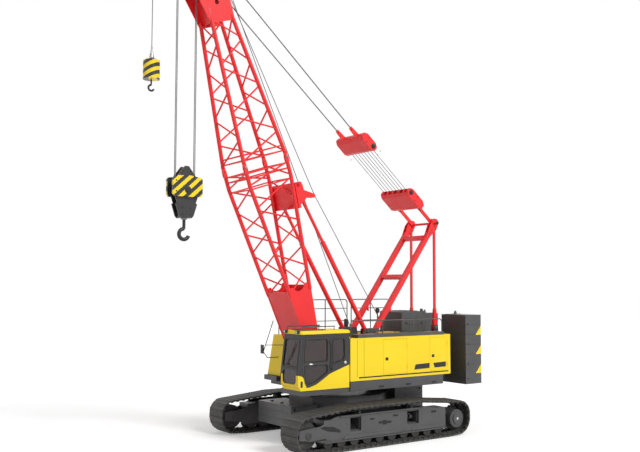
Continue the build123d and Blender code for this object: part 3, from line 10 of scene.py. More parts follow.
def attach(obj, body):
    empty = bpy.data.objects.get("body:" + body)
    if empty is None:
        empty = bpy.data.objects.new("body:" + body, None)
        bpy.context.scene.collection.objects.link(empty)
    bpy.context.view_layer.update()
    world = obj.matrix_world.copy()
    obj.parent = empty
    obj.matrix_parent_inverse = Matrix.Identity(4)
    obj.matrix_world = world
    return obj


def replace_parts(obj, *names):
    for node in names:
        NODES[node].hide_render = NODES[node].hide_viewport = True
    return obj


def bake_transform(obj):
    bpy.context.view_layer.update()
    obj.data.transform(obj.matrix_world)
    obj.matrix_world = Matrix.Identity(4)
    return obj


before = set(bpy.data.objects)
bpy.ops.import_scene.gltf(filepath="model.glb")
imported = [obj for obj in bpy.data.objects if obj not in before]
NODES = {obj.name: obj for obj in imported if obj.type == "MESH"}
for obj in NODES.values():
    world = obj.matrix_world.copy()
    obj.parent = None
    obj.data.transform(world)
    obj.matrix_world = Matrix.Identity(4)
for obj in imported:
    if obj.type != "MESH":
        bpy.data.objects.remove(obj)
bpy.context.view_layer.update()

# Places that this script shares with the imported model. A pair is (x, z), or (u, v) along and across the boom
FOOT = (1.17, 2.05)
BOOM_ANGLE = radians(72)
MAST_HEAD = (-3.61, 6.8)
TRACK_Y = 2.07
SHOE_WIDTH = 0.82
HEAD_SHEAVE = (12.4, 0.56)
TIP_SHEAVE = (13.3, 1.15)
GUIDE_SHEAVE = (11.7, -0.42)
PENDANT = (11.9, -0.6)
ROPE_ROLLER = (5.13, -1.8)
GUIDE_FALL, TIP_FALL = 0.22, 0.23
HEAD_PLATE_Y = 0.36
DRUM_Z = 2.45
# Name, shaft x, radius
WINCHES = (("auxiliary", -1.04, 0.25), ("main", -2.05, 0.29), ("luffing", -2.96, 0.23))


def on_boom(u, v, y=0.0):
    """A point given along and across the boom."""
    c, s = cos(BOOM_ANGLE), sin(BOOM_ANGLE)
    return Vector((FOOT[0] + u * c + v * s, y, FOOT[1] + u * s - v * c))


pin = on_boom(*PENDANT)
LINE_ANGLE = atan2(pin.z - MAST_HEAD[1], pin.x - MAST_HEAD[0])


def on_line(s, n, y=0.0):
    """A point along and across the line from the mast head to the pendants' pin."""
    c, k = cos(LINE_ANGLE), sin(LINE_ANGLE)
    return Vector((MAST_HEAD[0] + s * c - n * k, y, MAST_HEAD[1] + s * k + n * c))


# Materials
def new_material(name):
    """A material, its node tree and its shader."""
    made = bpy.data.materials.new(name)
    made.use_nodes = True
    tree = made.node_tree
    return made, tree, tree.nodes["Principled BSDF"]


def ramp(tree, value, stops):
    """A colour ramp fed by a value; stops are (place, colour)."""
    node = tree.nodes.new("ShaderNodeValToRGB")
    while len(node.color_ramp.elements) < len(stops):
        node.color_ramp.elements.new(0.5)
    for element, (place, colour) in zip(node.color_ramp.elements, stops):
        element.position = place
        element.color = (*colour, 1)
    tree.links.new(value, node.inputs["Fac"])
    return node.outputs["Color"]


def noise(tree, vector, scale, detail=4.0):
    """Noise from 0 to 1 over places."""
    node = tree.nodes.new("ShaderNodeTexNoise")
    node.inputs["Scale"].default_value = scale
    node.inputs["Detail"].default_value = detail
    node.inputs["Roughness"].default_value = 0.55
    tree.links.new(vector, node.inputs["Vector"])
    return node.outputs["Fac"]


def mix(tree, factor, first, second):
    """A colour between two, each a colour or a socket."""
    node = tree.nodes.new("ShaderNodeMix")
    node.data_type = "RGBA"
    for name, value in (("Factor", factor), ("A", first), ("B", second)):
        socket = node.inputs[name]
        if isinstance(value, bpy.types.NodeSocket):
            tree.links.new(value, socket)
        elif isinstance(value, float):
            socket.default_value = value
        else:
            socket.default_value = (*value, 1)
    return node.outputs["Result"]


def maths(tree, operation, *values):
    """One sum of numbers and sockets."""
    node = tree.nodes.new("ShaderNodeMath")
    node.operation = operation
    for socket, value in zip(node.inputs, values):
        if isinstance(value, bpy.types.NodeSocket):
            tree.links.new(value, socket)
        else:
            socket.default_value = value
    return node.outputs[0]


def graph(tree, value, points):
    """A broken line through (value, result) points."""
    low, high = points[0][0], points[-1][0]
    base = min(result for _, result in points)
    span = max(result for _, result in points) - base
    share = maths(tree, "DIVIDE", maths(tree, "SUBTRACT", value, low), high - low)
    stops = [((at - low) / (high - low), ((result - base) / span,) * 3) for at, result in points]
    return maths(tree, "MULTIPLY_ADD", ramp(tree, share, stops), span, base)


def within(tree, *limits):
    """1 where each value lies between its two limits."""
    inside = 1.0
    for value, low, high in limits:
        inside = maths(tree, "MULTIPLY", inside, maths(tree, "GREATER_THAN", value, low))
        inside = maths(tree, "MULTIPLY", inside, maths(tree, "LESS_THAN", value, high))
    return inside


def stripes(tree, x, y, z, across, rise, pitch, offset):
    """Slanted bands: 1 in every other one."""
    along = maths(tree, "MULTIPLY_ADD", x, across, offset)
    along = maths(tree, "MULTIPLY_ADD", y, rise, along)
    along = maths(tree, "ADD", along, z)
    wave = maths(tree, "FRACT", maths(tree, "DIVIDE", along, pitch))
    return maths(tree, "GREATER_THAN", wave, 0.5)


def surface(name, colour, rough=0.4, metal=0.0, vary=0.12, scale=1.5, dust=0.0,
            dust_colour=(0.30, 0.28, 0.25), bump=0.05, grain=60.0, coat=0.0, layers=()):
    """Paint or bare metal: uneven colour, other colours by place, dust on what faces up, a fine bump."""
    made, tree, shader = new_material(name)
    place = tree.nodes.new("ShaderNodeTexCoord")
    spot = noise(tree, place.outputs["Object"], scale)
    darker = tuple(c * (1 - vary) for c in colour)
    lighter = tuple(min(1.0, c * (1 + vary * 0.5)) for c in colour)
    paint = ramp(tree, spot, ((0.3, darker), (0.7, lighter)))
    if layers:
        split = tree.nodes.new("ShaderNodeSeparateXYZ")
        tree.links.new(place.outputs["Object"], split.inputs[0])
        for mask, second in layers:
            paint = mix(tree, mask(tree, *split.outputs[:3]), paint, second)
    if dust:
        up = tree.nodes.new("ShaderNodeSeparateXYZ")
        tree.links.new(place.outputs["Normal"], up.inputs[0])
        cover = maths(tree, "MULTIPLY", maths(tree, "MAXIMUM", up.outputs["Z"], 0.15), dust)
        cover = maths(tree, "MULTIPLY", cover, noise(tree, place.outputs["Object"], 7.0, 6.0))
        paint = mix(tree, cover, paint, dust_colour)
    tree.links.new(paint, shader.inputs["Base Color"])
    fine = noise(tree, place.outputs["Object"], grain, 3.0)
    level = ramp(tree, noise(tree, place.outputs["Object"], scale * 4),
                 ((0.3, (rough * 0.8,) * 3), (0.75, (min(1.0, rough * 1.25),) * 3)))
    tree.links.new(level, shader.inputs["Roughness"])
    node = tree.nodes.new("ShaderNodeBump")
    node.inputs["Strength"].default_value = bump
    node.inputs["Distance"].default_value = 0.01
    tree.links.new(fine, node.inputs["Height"])
    tree.links.new(node.outputs[0], shader.inputs["Normal"])
    shader.inputs["Metallic"].default_value = metal
    shader.inputs["Coat Weight"].default_value = coat
    shader.inputs["Coat Roughness"].default_value = 0.12
    return made


def glass(name, colour):
    """A tinted pane under an uneven film."""
    rough = 0.03
    made, tree, shader = new_material(name)
    place = tree.nodes.new("ShaderNodeTexCoord")
    film = noise(tree, place.outputs["Object"], 3.0)
    tint = ramp(tree, film, ((0.3, colour), (0.8, tuple(min(1.0, c * 1.25) for c in colour))))
    tree.links.new(tint, shader.inputs["Base Color"])
    level = ramp(tree, film, ((0.3, (rough,) * 3), (0.8, (rough * 3,) * 3)))
    tree.links.new(level, shader.inputs["Roughness"])
    shader.inputs["Transmission Weight"].default_value = 0.85
    shader.inputs["IOR"].default_value = 1.45
    return made


def cloth(name, colour):
    """A woven cover with a fine weave and a little sheen."""
    made, tree, shader = new_material(name)
    place = tree.nodes.new("ShaderNodeTexCoord")
    weave = tree.nodes.new("ShaderNodeTexWave")
    weave.inputs["Scale"].default_value = 160
    weave.inputs["Distortion"].default_value = 1.5
    tree.links.new(place.outputs["Object"], weave.inputs["Vector"])
    tint = mix(tree, weave.outputs["Fac"], colour, tuple(c * 1.7 for c in colour))
    tree.links.new(tint, shader.inputs["Base Color"])
    node = tree.nodes.new("ShaderNodeBump")
    node.inputs["Strength"].default_value = 0.3
    node.inputs["Distance"].default_value = 0.002
    tree.links.new(weave.outputs["Fac"], node.inputs["Height"])
    tree.links.new(node.outputs[0], shader.inputs["Normal"])
    shader.inputs["Roughness"].default_value = 0.85
    shader.inputs["Sheen Weight"].default_value = 0.3
    return made


# Masks by place at rest. The black of the cab's sides starts above this line of (x, z)
CAB_LINE = ((0.84, 2.33), (1.56, 2.095), (1.80, 1.95), (2.05, 1.81), (2.30, 1.742), (2.39, 1.745),
            (2.43, 1.85), (2.47, 1.98), (2.52, 2.05), (2.58, 2.08), (2.69, 2.10))


def cab_black(tree, x, y, z):
    """The dark band around the cab's windows, and all of its inside."""
    above = maths(tree, "GREATER_THAN", z, graph(tree, x, CAB_LINE))
    inside = within(tree, (x, 0.862, 2.5), (y, 0.722, 1.572), (z, 1.672, 3.24))
    return maths(tree, "MAXIMUM", above, inside)


def block_stripes(tree, x, y, z):
    """Warning stripes on the weight plates of the hook block."""
    bands = stripes(tree, x, y, z, 0.9, 0.0, 0.29, 0.05)
    side = maths(tree, "ABSOLUTE", y)
    on_plates = within(tree, (z, 7.158, 7.762), (side, 0.1495, 0.3))
    return maths(tree, "MULTIPLY", bands, on_plates)


def weight_stripes(tree, x, y, z):
    """Warning stripes around the auxiliary weight."""
    bands = stripes(tree, x, y, z, 0.42, -0.3, 0.22, 0.0)
    return maths(tree, "MULTIPLY", bands, within(tree, (z, 10.39, 11.0)))


def weight_rope(tree, x, y, z):
    """The rope above the auxiliary weight."""
    return maths(tree, "GREATER_THAN", z, 11.03)


YELLOW_RGB = (0.97, 0.70, 0.004)
BLACK_RGB = (0.062, 0.062, 0.065)
GLOSS_RGB = (0.02, 0.02, 0.022)
STRIPED_RGB = (0.02, 0.02, 0.021)
ROPE_RGB = (0.16, 0.16, 0.165)
PAINT = dict(rough=0.45, vary=0.05, scale=0.8, dust=0.03, coat=0.08, bump=0.03)
yellow = surface("yellow_paint", YELLOW_RGB, **PAINT)
cab_paint = surface("cab_paint", YELLOW_RGB, layers=((cab_black, GLOSS_RGB),), **PAINT)
black = surface("black_paint", BLACK_RGB, 0.42, vary=0.2, scale=2.0, dust=0.25, coat=0.1)
gloss_black = surface("gloss_black", GLOSS_RGB, 0.22, vary=0.15, coat=0.4, bump=0.02)
dark = surface("dark_plastic", (0.012, 0.012, 0.013), 0.5, vary=0.2, grain=120.0)
# Near-black paint that stands in for the shade inside slots, gaps and grooves
shade = surface("painted_recess_shade", (0.004, 0.004, 0.004), 0.7, vary=0.3)
red = surface("red_paint", (0.90, 0.018, 0.022), 0.45, vary=0.07, scale=0.9, dust=0.03, coat=0.08,
              bump=0.03)
block_paint = surface("block_paint", STRIPED_RGB, 0.35, vary=0.15, coat=0.2,
                      layers=((block_stripes, YELLOW_RGB),))
weight_paint = surface("weight_paint", STRIPED_RGB, 0.35, vary=0.15, coat=0.2,
                       layers=((weight_stripes, YELLOW_RGB), (weight_rope, ROPE_RGB)))
sand = surface("sand_paint", (0.55, 0.33, 0.08), 0.45, vary=0.15, dust=0.2)
lens_red = surface("red_lens", (0.55, 0.01, 0.01), 0.15, coat=0.6, bump=0.1, grain=200.0)
chrome = surface("chrome", (0.75, 0.75, 0.76), 0.12, metal=1.0, vary=0.05, bump=0.01)
iron = surface("track_steel", (0.055, 0.053, 0.052), 0.55, metal=0.35, vary=0.45, scale=5.0, dust=0.9,
               dust_colour=(0.13, 0.125, 0.12), bump=0.25, grain=45.0)
steel = surface("bare_steel", (0.30, 0.30, 0.31), 0.35, metal=0.9, vary=0.2, scale=6.0, grain=90.0)
rope = surface("wire_rope", ROPE_RGB, 0.45, metal=0.7, vary=0.3, scale=40.0, bump=0.5, grain=180.0)
grey = surface("grey_paint", (0.16, 0.16, 0.165), 0.4, vary=0.12, dust=0.3)
white = surface("white_paint", (0.8, 0.8, 0.8), 0.4, vary=0.06)
engine_iron = surface("engine_iron", (0.10, 0.11, 0.12), 0.5, metal=0.4, vary=0.3, scale=8.0, bump=0.3)
pane = glass("cab_pane", (0.20, 0.15, 0.15))
seat_cloth = cloth("seat_cloth", (0.02, 0.02, 0.022))

# Material, then the CAD nodes that wear it
LOOK = {
    yellow: ("cab_roof left_housing right_housing left_front_door left_rear_door right_front_door "
             "right_rear_door"),
    cab_paint: "cab_shell",
    gloss_black: "cab_door",
    block_paint: "main_hook_block",
    weight_paint: "aux_weight",
    black: ("carbody carbody_weights side_frame_left side_frame_right travel_drives deck_frame deck_hood "
            "winch_frames counterweight_tray counterweight_slabs handrails cab_guard"),
    red: ("boom_base boom_top backstop_beam gantry_mast gantry_links luffing_block spreader backstop_tubes "
          "backstop_rods"),
    iron: "track_left track_right sprockets idlers rollers",
    steel: "slew_ring_fixed slew_ring_turning aux_drum main_drum luffing_drum",
    grey: "head_sheaves guide_sheaves tip_sheave",
    rope: "main_falls pendants hoist_lines",
    engine_iron: "engine",
    dark: "cab_console main_hook aux_hook",
    seat_cloth: "cab_seat",
    pane: "cab_glass cab_door_glass",
}
for look, names in LOOK.items():
    for name in names.split():
        for place in NODES[name].material_slots:
            place.link = "OBJECT"
            place.material = look


# Building pieces
SHARP_ANGLE, BEVEL_ANGLE = radians(35), radians(38)


def placed(name, data):
    """A new object in the scene."""
    made = bpy.data.objects.new(name, data)
    bpy.context.scene.collection.objects.link(made)
    return made


def smooth(name, mesh, look):
    """A smoothly shaded object made of a bmesh, which is used up."""
    data = bpy.data.meshes.new(name)
    mesh.to_mesh(data)
    mesh.free()
    made = placed(name, data)
    data.materials.append(look)
    data.shade_smooth()
    return made


def circle(side, up, count):
    """Directions around a circle that two vectors span."""
    return [side * cos(a) + up * sin(a) for a in (2 * pi * k / count for k in range(count))]


class Piece:
    """Collects shapes in one mesh, then becomes an object that rides on a body."""

    def __init__(self):
        self.mesh = bmesh.new()

    def add(self, points, faces):
        """Points, and faces given as indices into them."""
        made = [self.mesh.verts.new(p) for p in points]
        for face in faces:
            self.mesh.faces.new([made[i] for i in face])
        return self

    def box(self, x, y, z):
        """A box from three (low, high) pairs."""
        points = [Vector((a, b, c)) for a in x for b in y for c in z]
        return self.add(points, ((0, 1, 3, 2), (4, 6, 7, 5), (0, 4, 5, 1), (2, 3, 7, 6), (0, 2, 6, 4),
                                 (1, 5, 7, 3)))

    def prism(self, outline, start, end):
        """An outline of points in space, pushed from one offset to another."""
        count = len(outline)
        points = [Vector(p) + Vector(start) for p in outline] + [Vector(p) + Vector(end) for p in outline]
        faces = [tuple(range(count - 1, -1, -1)), tuple(range(count, 2 * count))]
        faces += [(i, (i + 1) % count, count + (i + 1) % count, count + i) for i in range(count)]
        return self.add(points, faces)

    def plate(self, outline, low_y, high_y):
        """An (x, z) outline as thick as a span of Y."""
        return self.prism([(x, 0, z) for x, z in outline], (0, low_y, 0), (0, high_y, 0))

    def loft(self, points, sides):
        """Rings of that many points, joined in a row and closed at both ends."""
        count = len(points)
        faces = [(a + k, a + (k + 1) % sides, a + sides + (k + 1) % sides, a + sides + k)
                 for a in range(0, count - sides, sides) for k in range(sides)]
        faces += [tuple(range(sides - 1, -1, -1)), tuple(range(count - sides, count))]
        return self.add(points, faces)

    def tube(self, points, radius, sides=12):
        """A round bar through the points, a little wider where it bends."""
        points = [Vector(p) for p in points]
        steps = [(b - a).normalized() for a, b in zip(points, points[1:])]
        rings, side = [], None
        for i, p in enumerate(points):
            ways = steps[max(0, i - 1):i + 1]
            way = sum(ways, Vector()).normalized()
            if side is None:
                side = way.orthogonal().normalized()
            side = (side - way * side.dot(way)).normalized()
            stretch = 1 / max(0.4, way.dot(ways[-1]))
            widen = 1 if stretch < 1.001 else stretch ** 0.5
            rings += [p + d * radius * widen for d in circle(side, way.cross(side), sides)]
        return self.loft(rings, sides)

    def disc(self, centre, axis, profile, sides=32):
        """A turned shape: profile is (distance along axis, radius) pairs."""
        axis = Vector(axis).normalized()
        side = axis.orthogonal().normalized()
        ring = circle(side, axis.cross(side), sides)
        return self.loft([Vector(centre) + axis * d + way * r for d, r in profile for way in ring], sides)

    def bolts(self, places, axis, radius=0.016, height=0.014):
        """Hexagon heads that stand on the given places."""
        for place in places:
            washer = height * 0.25
            self.disc(place, axis, ((-0.003, radius * 1.5), (washer, radius * 1.5), (washer, radius),
                                    (height, radius)), 6)
        return self

    def done(self, name, look, body, bevel=0.0, segments=2):
        """The finished object; bevel is a width, and with body None nothing carries it yet."""
        bmesh.ops.recalc_face_normals(self.mesh, faces=self.mesh.faces)
        made = smooth(name, self.mesh, look)
        made.data.set_sharp_from_angle(angle=SHARP_ANGLE)
        if bevel:
            mod = made.modifiers.new("edge", "BEVEL")
            mod.width = bevel
            mod.segments = segments
            mod.limit_method = "ANGLE"
            mod.angle_limit = BEVEL_ANGLE
        if body:
            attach(made, body)
        return made


def mirrored(*shapes):
    """Call each shape(sign, side's name, outward direction), first for the left side."""
    for sign, side in ((1, "left"), (-1, "right")):
        for shape in shapes:
            shape(sign, side, Vector((0, sign, 0)))


# Tracks: one shoe per link of the loop
def round_path(corners, radii, step):
    """Evenly spaced (place, direction) pairs along a closed path with rounded corners."""
    dense = []
    count = len(corners)
    for i, corner in enumerate(corners):
        p, q, r = Vector(corners[i - 1]), Vector(corner), Vector(corners[(i + 1) % count])
        a, b = (p - q).normalized(), (r - q).normalized()
        half = a.angle(b) / 2
        reach = radii[i] / tan(half)
        start, end = q + a * reach, q + b * reach
        centre = q + (a + b).normalized() * (radii[i] / sin(half))
        first, last = start - centre, end - centre
        turn = first.angle_signed(last)
        for k in range(13):
            angle = -turn * k / 12
            dense.append(centre + Matrix.Rotation(angle, 2) @ first)
    lengths = [0.0]
    for i in range(len(dense)):
        lengths.append(lengths[-1] + (dense[(i + 1) % len(dense)] - dense[i]).length)
    total = lengths[-1]
    number = round(total / step)
    places, j = [], 0
    for i in range(number):
        at = total * i / number
        while lengths[j + 1] < at:
            j += 1
        a, b = dense[j], dense[(j + 1) % len(dense)]
        share = (at - lengths[j]) / max(1e-9, lengths[j + 1] - lengths[j])
        places.append((a.lerp(b, share), (b - a).normalized()))
    return places


TRACK = ((-2.4, 0), (2.4, 0), (3.32, 0.06), (3.32, 1.04), (1.3, 1.22), (-1.3, 1.22), (-3.32, 1.04),
         (-3.32, 0.06))
TRACK_RADII = (0.9, 0.9, 0.5, 0.43, 0.9, 0.9, 0.43, 0.5)
SHOE_PITCH = 0.205


def shoe_track(sign, side, _):
    """Shoes with two bars each, and the chain links and guides under them."""
    shoes, links = Piece(), Piece()
    low, high = sorted((sign * (TRACK_Y - SHOE_WIDTH / 2), sign * (TRACK_Y + SHOE_WIDTH / 2)))
    for place, way in round_path(TRACK, TRACK_RADII, SHOE_PITCH):
        out = Vector((way.y, -way.x))

        def at(s, d):
            p = place + way * s - out * d
            return (p.x, p.y)
        pad = [at(-0.100, 0.030), at(-0.090, 0.012), at(0.090, 0.012), at(0.100, 0.030), at(0.104, 0.052),
               at(-0.104, 0.052)]
        shoes.plate(pad, low, high)
        for s in (-0.058, 0.058):
            shoes.plate([at(s - 0.020, 0.012), at(s - 0.012, 0.0), at(s + 0.012, 0.0), at(s + 0.020, 0.012)],
                        low + 0.012, high - 0.012)
        link = [at(-0.105, 0.055), at(0.105, 0.055), at(0.085, 0.108), at(-0.085, 0.108)]
        for y in (sign * (TRACK_Y - 0.15), sign * (TRACK_Y + 0.15)):
            links.plate(link, y - 0.03, y + 0.03)
        guide = [at(-0.05, 0.05), at(0.05, 0.05), at(0.035, 0.085), at(-0.035, 0.085)]
        for y in (TRACK_Y - SHOE_WIDTH / 2 + 0.02, TRACK_Y + SHOE_WIDTH / 2 - 0.07):
            links.plate(guide, *sorted((sign * y, sign * (y + 0.05))))
    made = shoes.done(f"shoes_{side}", iron, "undercarriage", 0.004, segments=1)
    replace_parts(made, f"track_{side}")
    links.done(f"chain_{side}", iron, "undercarriage")


mirrored(shoe_track)


# Ropes that the frame leaves out
LINE_RADIUS, FALL_RADIUS = 0.012, 0.009
FALL_ENDS = (1.45, 3.7)
FALLS_Y = [-0.56 + 0.16 * k for k in range(8)]


def straight(name, start, end, radius, body=None):
    """A taut rope; without a body nothing carries it yet."""
    return Piece().tube((start, end), radius, 8).done(name, rope, body)


for number, y in enumerate(FALLS_Y, 1):
    fall = straight(f"luffing_fall_{number}", *[on_line(s, 0.0, y) for s in FALL_ENDS], FALL_RADIUS)
    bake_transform(fall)


def tangent(start, start_radius, end, end_radius, y):
    """The run that touches two circles on their rear sides, or in front where a radius is negative."""
    angle = atan2(end.z - start.z, end.x - start.x)
    side = angle - pi / 2 + asin((start_radius - end_radius) / hypot(end.x - start.x, end.z - start.z))
    circles = ((start, start_radius), (end, end_radius))
    return [Vector((c.x + r * cos(side), y, c.z + r * sin(side))) for c, r in circles]


def hoist_lines():
    """The main line over the roller to its drum, and the auxiliary line beside it."""
    guide, roller = on_boom(*GUIDE_SHEAVE), on_boom(*ROPE_ROLLER)
    over, lift = 0.0575, 0.01
    (small, small_radius), (main, main_radius) = [(Vector((x, 0, DRUM_Z)), radius + lift)
                                                  for _, x, radius in WINCHES[:2]]
    first = tangent(guide, GUIDE_FALL, roller, over, 0.0)
    runs = (("hoist_line_main", tangent(roller, over, main, main_radius, 0.0)),
            ("hoist_line_small", tangent(guide, GUIDE_FALL, small, -small_radius, 0.105)))
    on_the_boom = straight("hoist_line_over_boom", *first, LINE_RADIUS, "boom")
    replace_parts(on_the_boom, "hoist_lines")
    for name, (top, bottom) in runs:
        line = straight(name, top, bottom, LINE_RADIUS)
        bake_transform(line)


hoist_lines()


# Small shapes
def grown(corners, amount):
    """A closed outline of (a, b) points moved outward."""
    corners = [Vector(corner) for corner in corners]
    area = sum(p.x * q.y - p.y * q.x for p, q in zip(corners, corners[1:] + corners[:1]))
    moved = []
    for i, q in enumerate(corners):
        a, b = (q - corners[i - 1]).normalized(), (corners[(i + 1) % len(corners)] - q).normalized()
        m, n = Vector((a.y, -a.x)), Vector((b.y, -b.x))
        moved.append(q + (m + n) * (amount if area > 0 else -amount) / (1 + m.dot(n)))
    return moved


def rounded(corners, radius, steps=5):
    """A closed outline with its corners rounded."""
    points = []
    for i, corner in enumerate(corners):
        p, q, r = Vector(corners[i - 1]), Vector(corner), Vector(corners[(i + 1) % len(corners)])
        a = q + (p - q).normalized() * min(radius, 0.45 * (p - q).length)
        b = q + (r - q).normalized() * min(radius, 0.45 * (r - q).length)
        for k in range(steps + 1):
            t = k / steps
            points.append(a * (1 - t) ** 2 + q * (2 * t * (1 - t)) + b * t ** 2)
    return points


def flat(line):
    """(x, y) points laid flat."""
    return [(p.x, p.y, 0) for p in line]


def rim(outer, inner, start, end):
    """A flat frame between two lines of as many points, pushed from one offset to another."""
    count = len(outer)
    points = [Vector(p) + Vector(push) for push in (start, end) for line in (outer, inner) for p in line]
    faces = []
    for i in range(count):
        j = (i + 1) % count
        a, b, c, d = [(k * count + i, k * count + j) for k in range(4)]
        faces += [(a[0], a[1], b[1], b[0]), (c[0], d[0], d[1], c[1]), (a[0], c[0], c[1], a[1]),
                  (b[0], b[1], d[1], d[0])]
    return Piece().add(points, faces)


def around(x, y, z, radius, count):
    """Places on a circle about an axis along Y."""
    angles = [2 * pi * k / count for k in range(count)]
    return [Vector((x + radius * cos(a), y, z + radius * sin(a))) for a in angles]


# Undercarriage
WHEEL_X, WHEEL_Z = 2.82, 0.52
FRAME_FACE, DRIVE_FACE = TRACK_Y + 0.255, TRACK_Y + 0.30
COVER_FACE = DRIVE_FACE + 0.03
IDLER_HALF, ROLLER_HALF = 0.12, 0.15
ROLLER_Z, ROLLER_BOLTS_Z = 0.25, 0.345
ROLLER_X = [-2.115 + 0.47 * k for k in range(10)]
ROLLER_FLANGE = ((0, 0.138), (0.034, 0.138), (0.036, 0.158), (0.054, 0.158), (0.058, 0.12), (0.07, 0.06))
# Centre x, face y, circle's radius, count, head's radius, head's height
BOLT_CIRCLES = (
    (-WHEEL_X, DRIVE_FACE, 0.235, 20, 0.014, 0.014),
    (-WHEEL_X, COVER_FACE, 0.135, 12, 0.010, 0.010),
    (-WHEEL_X, TRACK_Y + 0.06, 0.306, 24, 0.011, 0.012),
    (WHEEL_X, FRAME_FACE + 0.014, 0.078, 8, 0.010, 0.010),
)
WALL_BOLTS_X, WALL_BOLTS_Z = (0.86, 1.48, -1.37, -0.68), (0.46, 0.60, 0.74, 0.95)
# x span, z span
WALL_FITTINGS = (
    ((-0.16, 0.0), (0.63, 0.69)), ((0.02, 0.16), (0.60, 0.72)), ((0.18, 0.31), (0.64, 0.70)),
    ((0.49, 0.64), (0.78, 0.82)), ((-0.43, -0.24), (0.80, 0.85)), ((-1.98, -1.78), (0.78, 0.84)),
)
# Outlines of flat near-black plates that paint the shade inside the wall's slots
NOSE_SLOT = ((2.18, 0.36), (2.86, 0.34), (2.80, 0.37), (2.26, 0.40))
TENSIONER_SLOT = ((1.72, 0.52), (2.16, 0.60), (2.42, 0.70), (2.30, 0.74), (1.96, 0.70), (1.74, 0.60))
SKIDS_X = ((-0.55, 1.62), (-2.30, -0.95))
MOTOR = ((0, 0.09), (0.26, 0.09), (0.27, 0.05), (0.36, 0.05))


def frame_bolts(sign, side, out):
    """Bolt circles of the drive, sprocket and idler, and the bolts in the side frame's wall."""
    bolts = Piece()
    for x, face, radius, count, head, height in BOLT_CIRCLES:
        bolts.bolts(around(x, sign * face, WHEEL_Z, radius, count), out, head, height)
    for x in ROLLER_X:
        places = [Vector((x + step, sign * FRAME_FACE, ROLLER_BOLTS_Z)) for step in (-0.045, 0.045)]
        bolts.bolts(places, out, 0.012, 0.012)
    wall = [Vector((x, sign * FRAME_FACE, z)) for x in WALL_BOLTS_X for z in WALL_BOLTS_Z]
    bolts.bolts(wall, out, 0.014, 0.012)
    bolts.done(f"frame_bolts_{side}", black, "undercarriage")
    plug = Piece().disc((-WHEEL_X, sign * COVER_FACE, WHEEL_Z), out,
                        ((0, 0.04), (0.016, 0.036), (0.022, 0.02)), 24)
    plug.done(f"drive_plug_{side}", chrome, "undercarriage")


def wheel_hubs(sign, side, out):
    """The idler's stepped hubs and its axle cap, and the rollers' flanges."""
    hubs = Piece()
    hubs.disc((WHEEL_X, sign * FRAME_FACE, WHEEL_Z), out, ((0, 0.105), (0.010, 0.105), (0.014, 0.10)))
    for end in (1, -1):
        face = Vector((WHEEL_X, sign * (TRACK_Y + end * IDLER_HALF), WHEEL_Z))
        hubs.disc(face, out * end, ((0, 0.34), (0.012, 0.33), (0.012, 0.16), (0.05, 0.13), (0.10, 0.085)))
        for x in ROLLER_X:
            face = (x, sign * (TRACK_Y + end * ROLLER_HALF), ROLLER_Z)
            hubs.disc(face, out * end, ROLLER_FLANGE, 24)
    hubs.done(f"wheel_hubs_{side}", iron, "undercarriage", 0.003, segments=1)


def frame_trim_and_slot_shade(sign, side, out):
    """Near-black fittings on the side frame's wall, flat near-black plates painted as the shade inside its
    slots, and the raised strips above the rollers.
    """
    trim = Piece()
    y = sorted((sign * FRAME_FACE, sign * (FRAME_FACE + 0.012)))
    for x, z in WALL_FITTINGS:
        trim.box(x, y, z)
    for outline in (NOSE_SLOT, TENSIONER_SLOT):
        trim.plate(outline, *y)
    trim.done(f"frame_trim_and_slot_shade_{side}", shade, "undercarriage", 0.004)
    skids = Piece()
    y = sorted((sign * FRAME_FACE, sign * (FRAME_FACE + 0.016)))
    for low, high in SKIDS_X:
        skids.plate(((low, 0.31), (high, 0.31), (high - 0.03, 0.37), (high - 0.14, 0.41), (low + 0.14, 0.41),
                     (low + 0.03, 0.37)), *y)
    skids.done(f"frame_skids_{side}", black, "undercarriage", 0.005)


def beam_fittings(sign, side, out):
    """Hoses in the front axle beam's end and a cylinder in the rear one's."""
    made = Piece()
    for k in range(3):
        route = ((1.02, 1.86, 0.60), (1.05, 2.02, 0.66), (1.08, 2.14, 0.60), (1.10, 2.22, 0.57))
        made.tube([(x + 0.08 * k, sign * y, z) for x, y, z in route], 0.016)
    made.disc((-1.03, sign * 1.86, 0.72), out, MOTOR, 20)
    made.done(f"beam_fittings_{side}", iron, "undercarriage")


mirrored(frame_bolts, wheel_hubs, frame_trim_and_slot_shade, beam_fittings)

# Studs on the carbody's weights, by x and z, and the bolts of the slew ring
WEIGHT_STUDS = ((2.19, 1.13), (-2.43, 1.44))
RING_RADIUS, RING_Z, RING_BOLTS = 0.90, 1.409, 48
carbody_trim = Piece()
for x, z in WEIGHT_STUDS:
    for y in (-0.55, 0.0, 0.55):
        carbody_trim.disc((x, y, z), (0, 0, 1), ((0, 0.06), (0.03, 0.05)), 20)
ring_angles = [2 * pi * k / RING_BOLTS for k in range(RING_BOLTS)]
carbody_trim.bolts([Vector((RING_RADIUS * cos(a), RING_RADIUS * sin(a), RING_Z)) for a in ring_angles],
                   (0, 0, 1), 0.012, 0.012)
carbody_trim.done("carbody_trim", black, "undercarriage")

# Cab: gaskets
CAB_LEFT, CAB_RIGHT = 1.594, 0.70
FRONT_X, LEAN_X, LEAN_Z = 2.68, 2.56, (2.295, 3.26)
SCREEN_Y = (0.77, 1.524)
GASKET_REACH, GASKET_COVER, GASKET_THICK = 0.014, 0.018, 0.008
DOOR_UPPER = ((2.425, 3.11), (2.465, 2.6), (2.465, 2.45), (1.63, 2.45), (1.63, 3.11))
DOOR_LOWER = ((2.455, 2.37), (2.45, 2.15), (2.39, 1.88), (2.35, 1.815), (2.06, 1.885), (1.82, 2.025),
              (1.63, 2.14), (1.63, 2.37))
SIDE_WINDOW = ((1.445, 3.11), (1.01, 3.11), (1.0, 2.56), (1.06, 2.47), (1.445, 2.36))
RIGHT_WINDOW = ((2.44, 3.11), (2.48, 2.3), (0.98, 2.3), (0.98, 3.11))


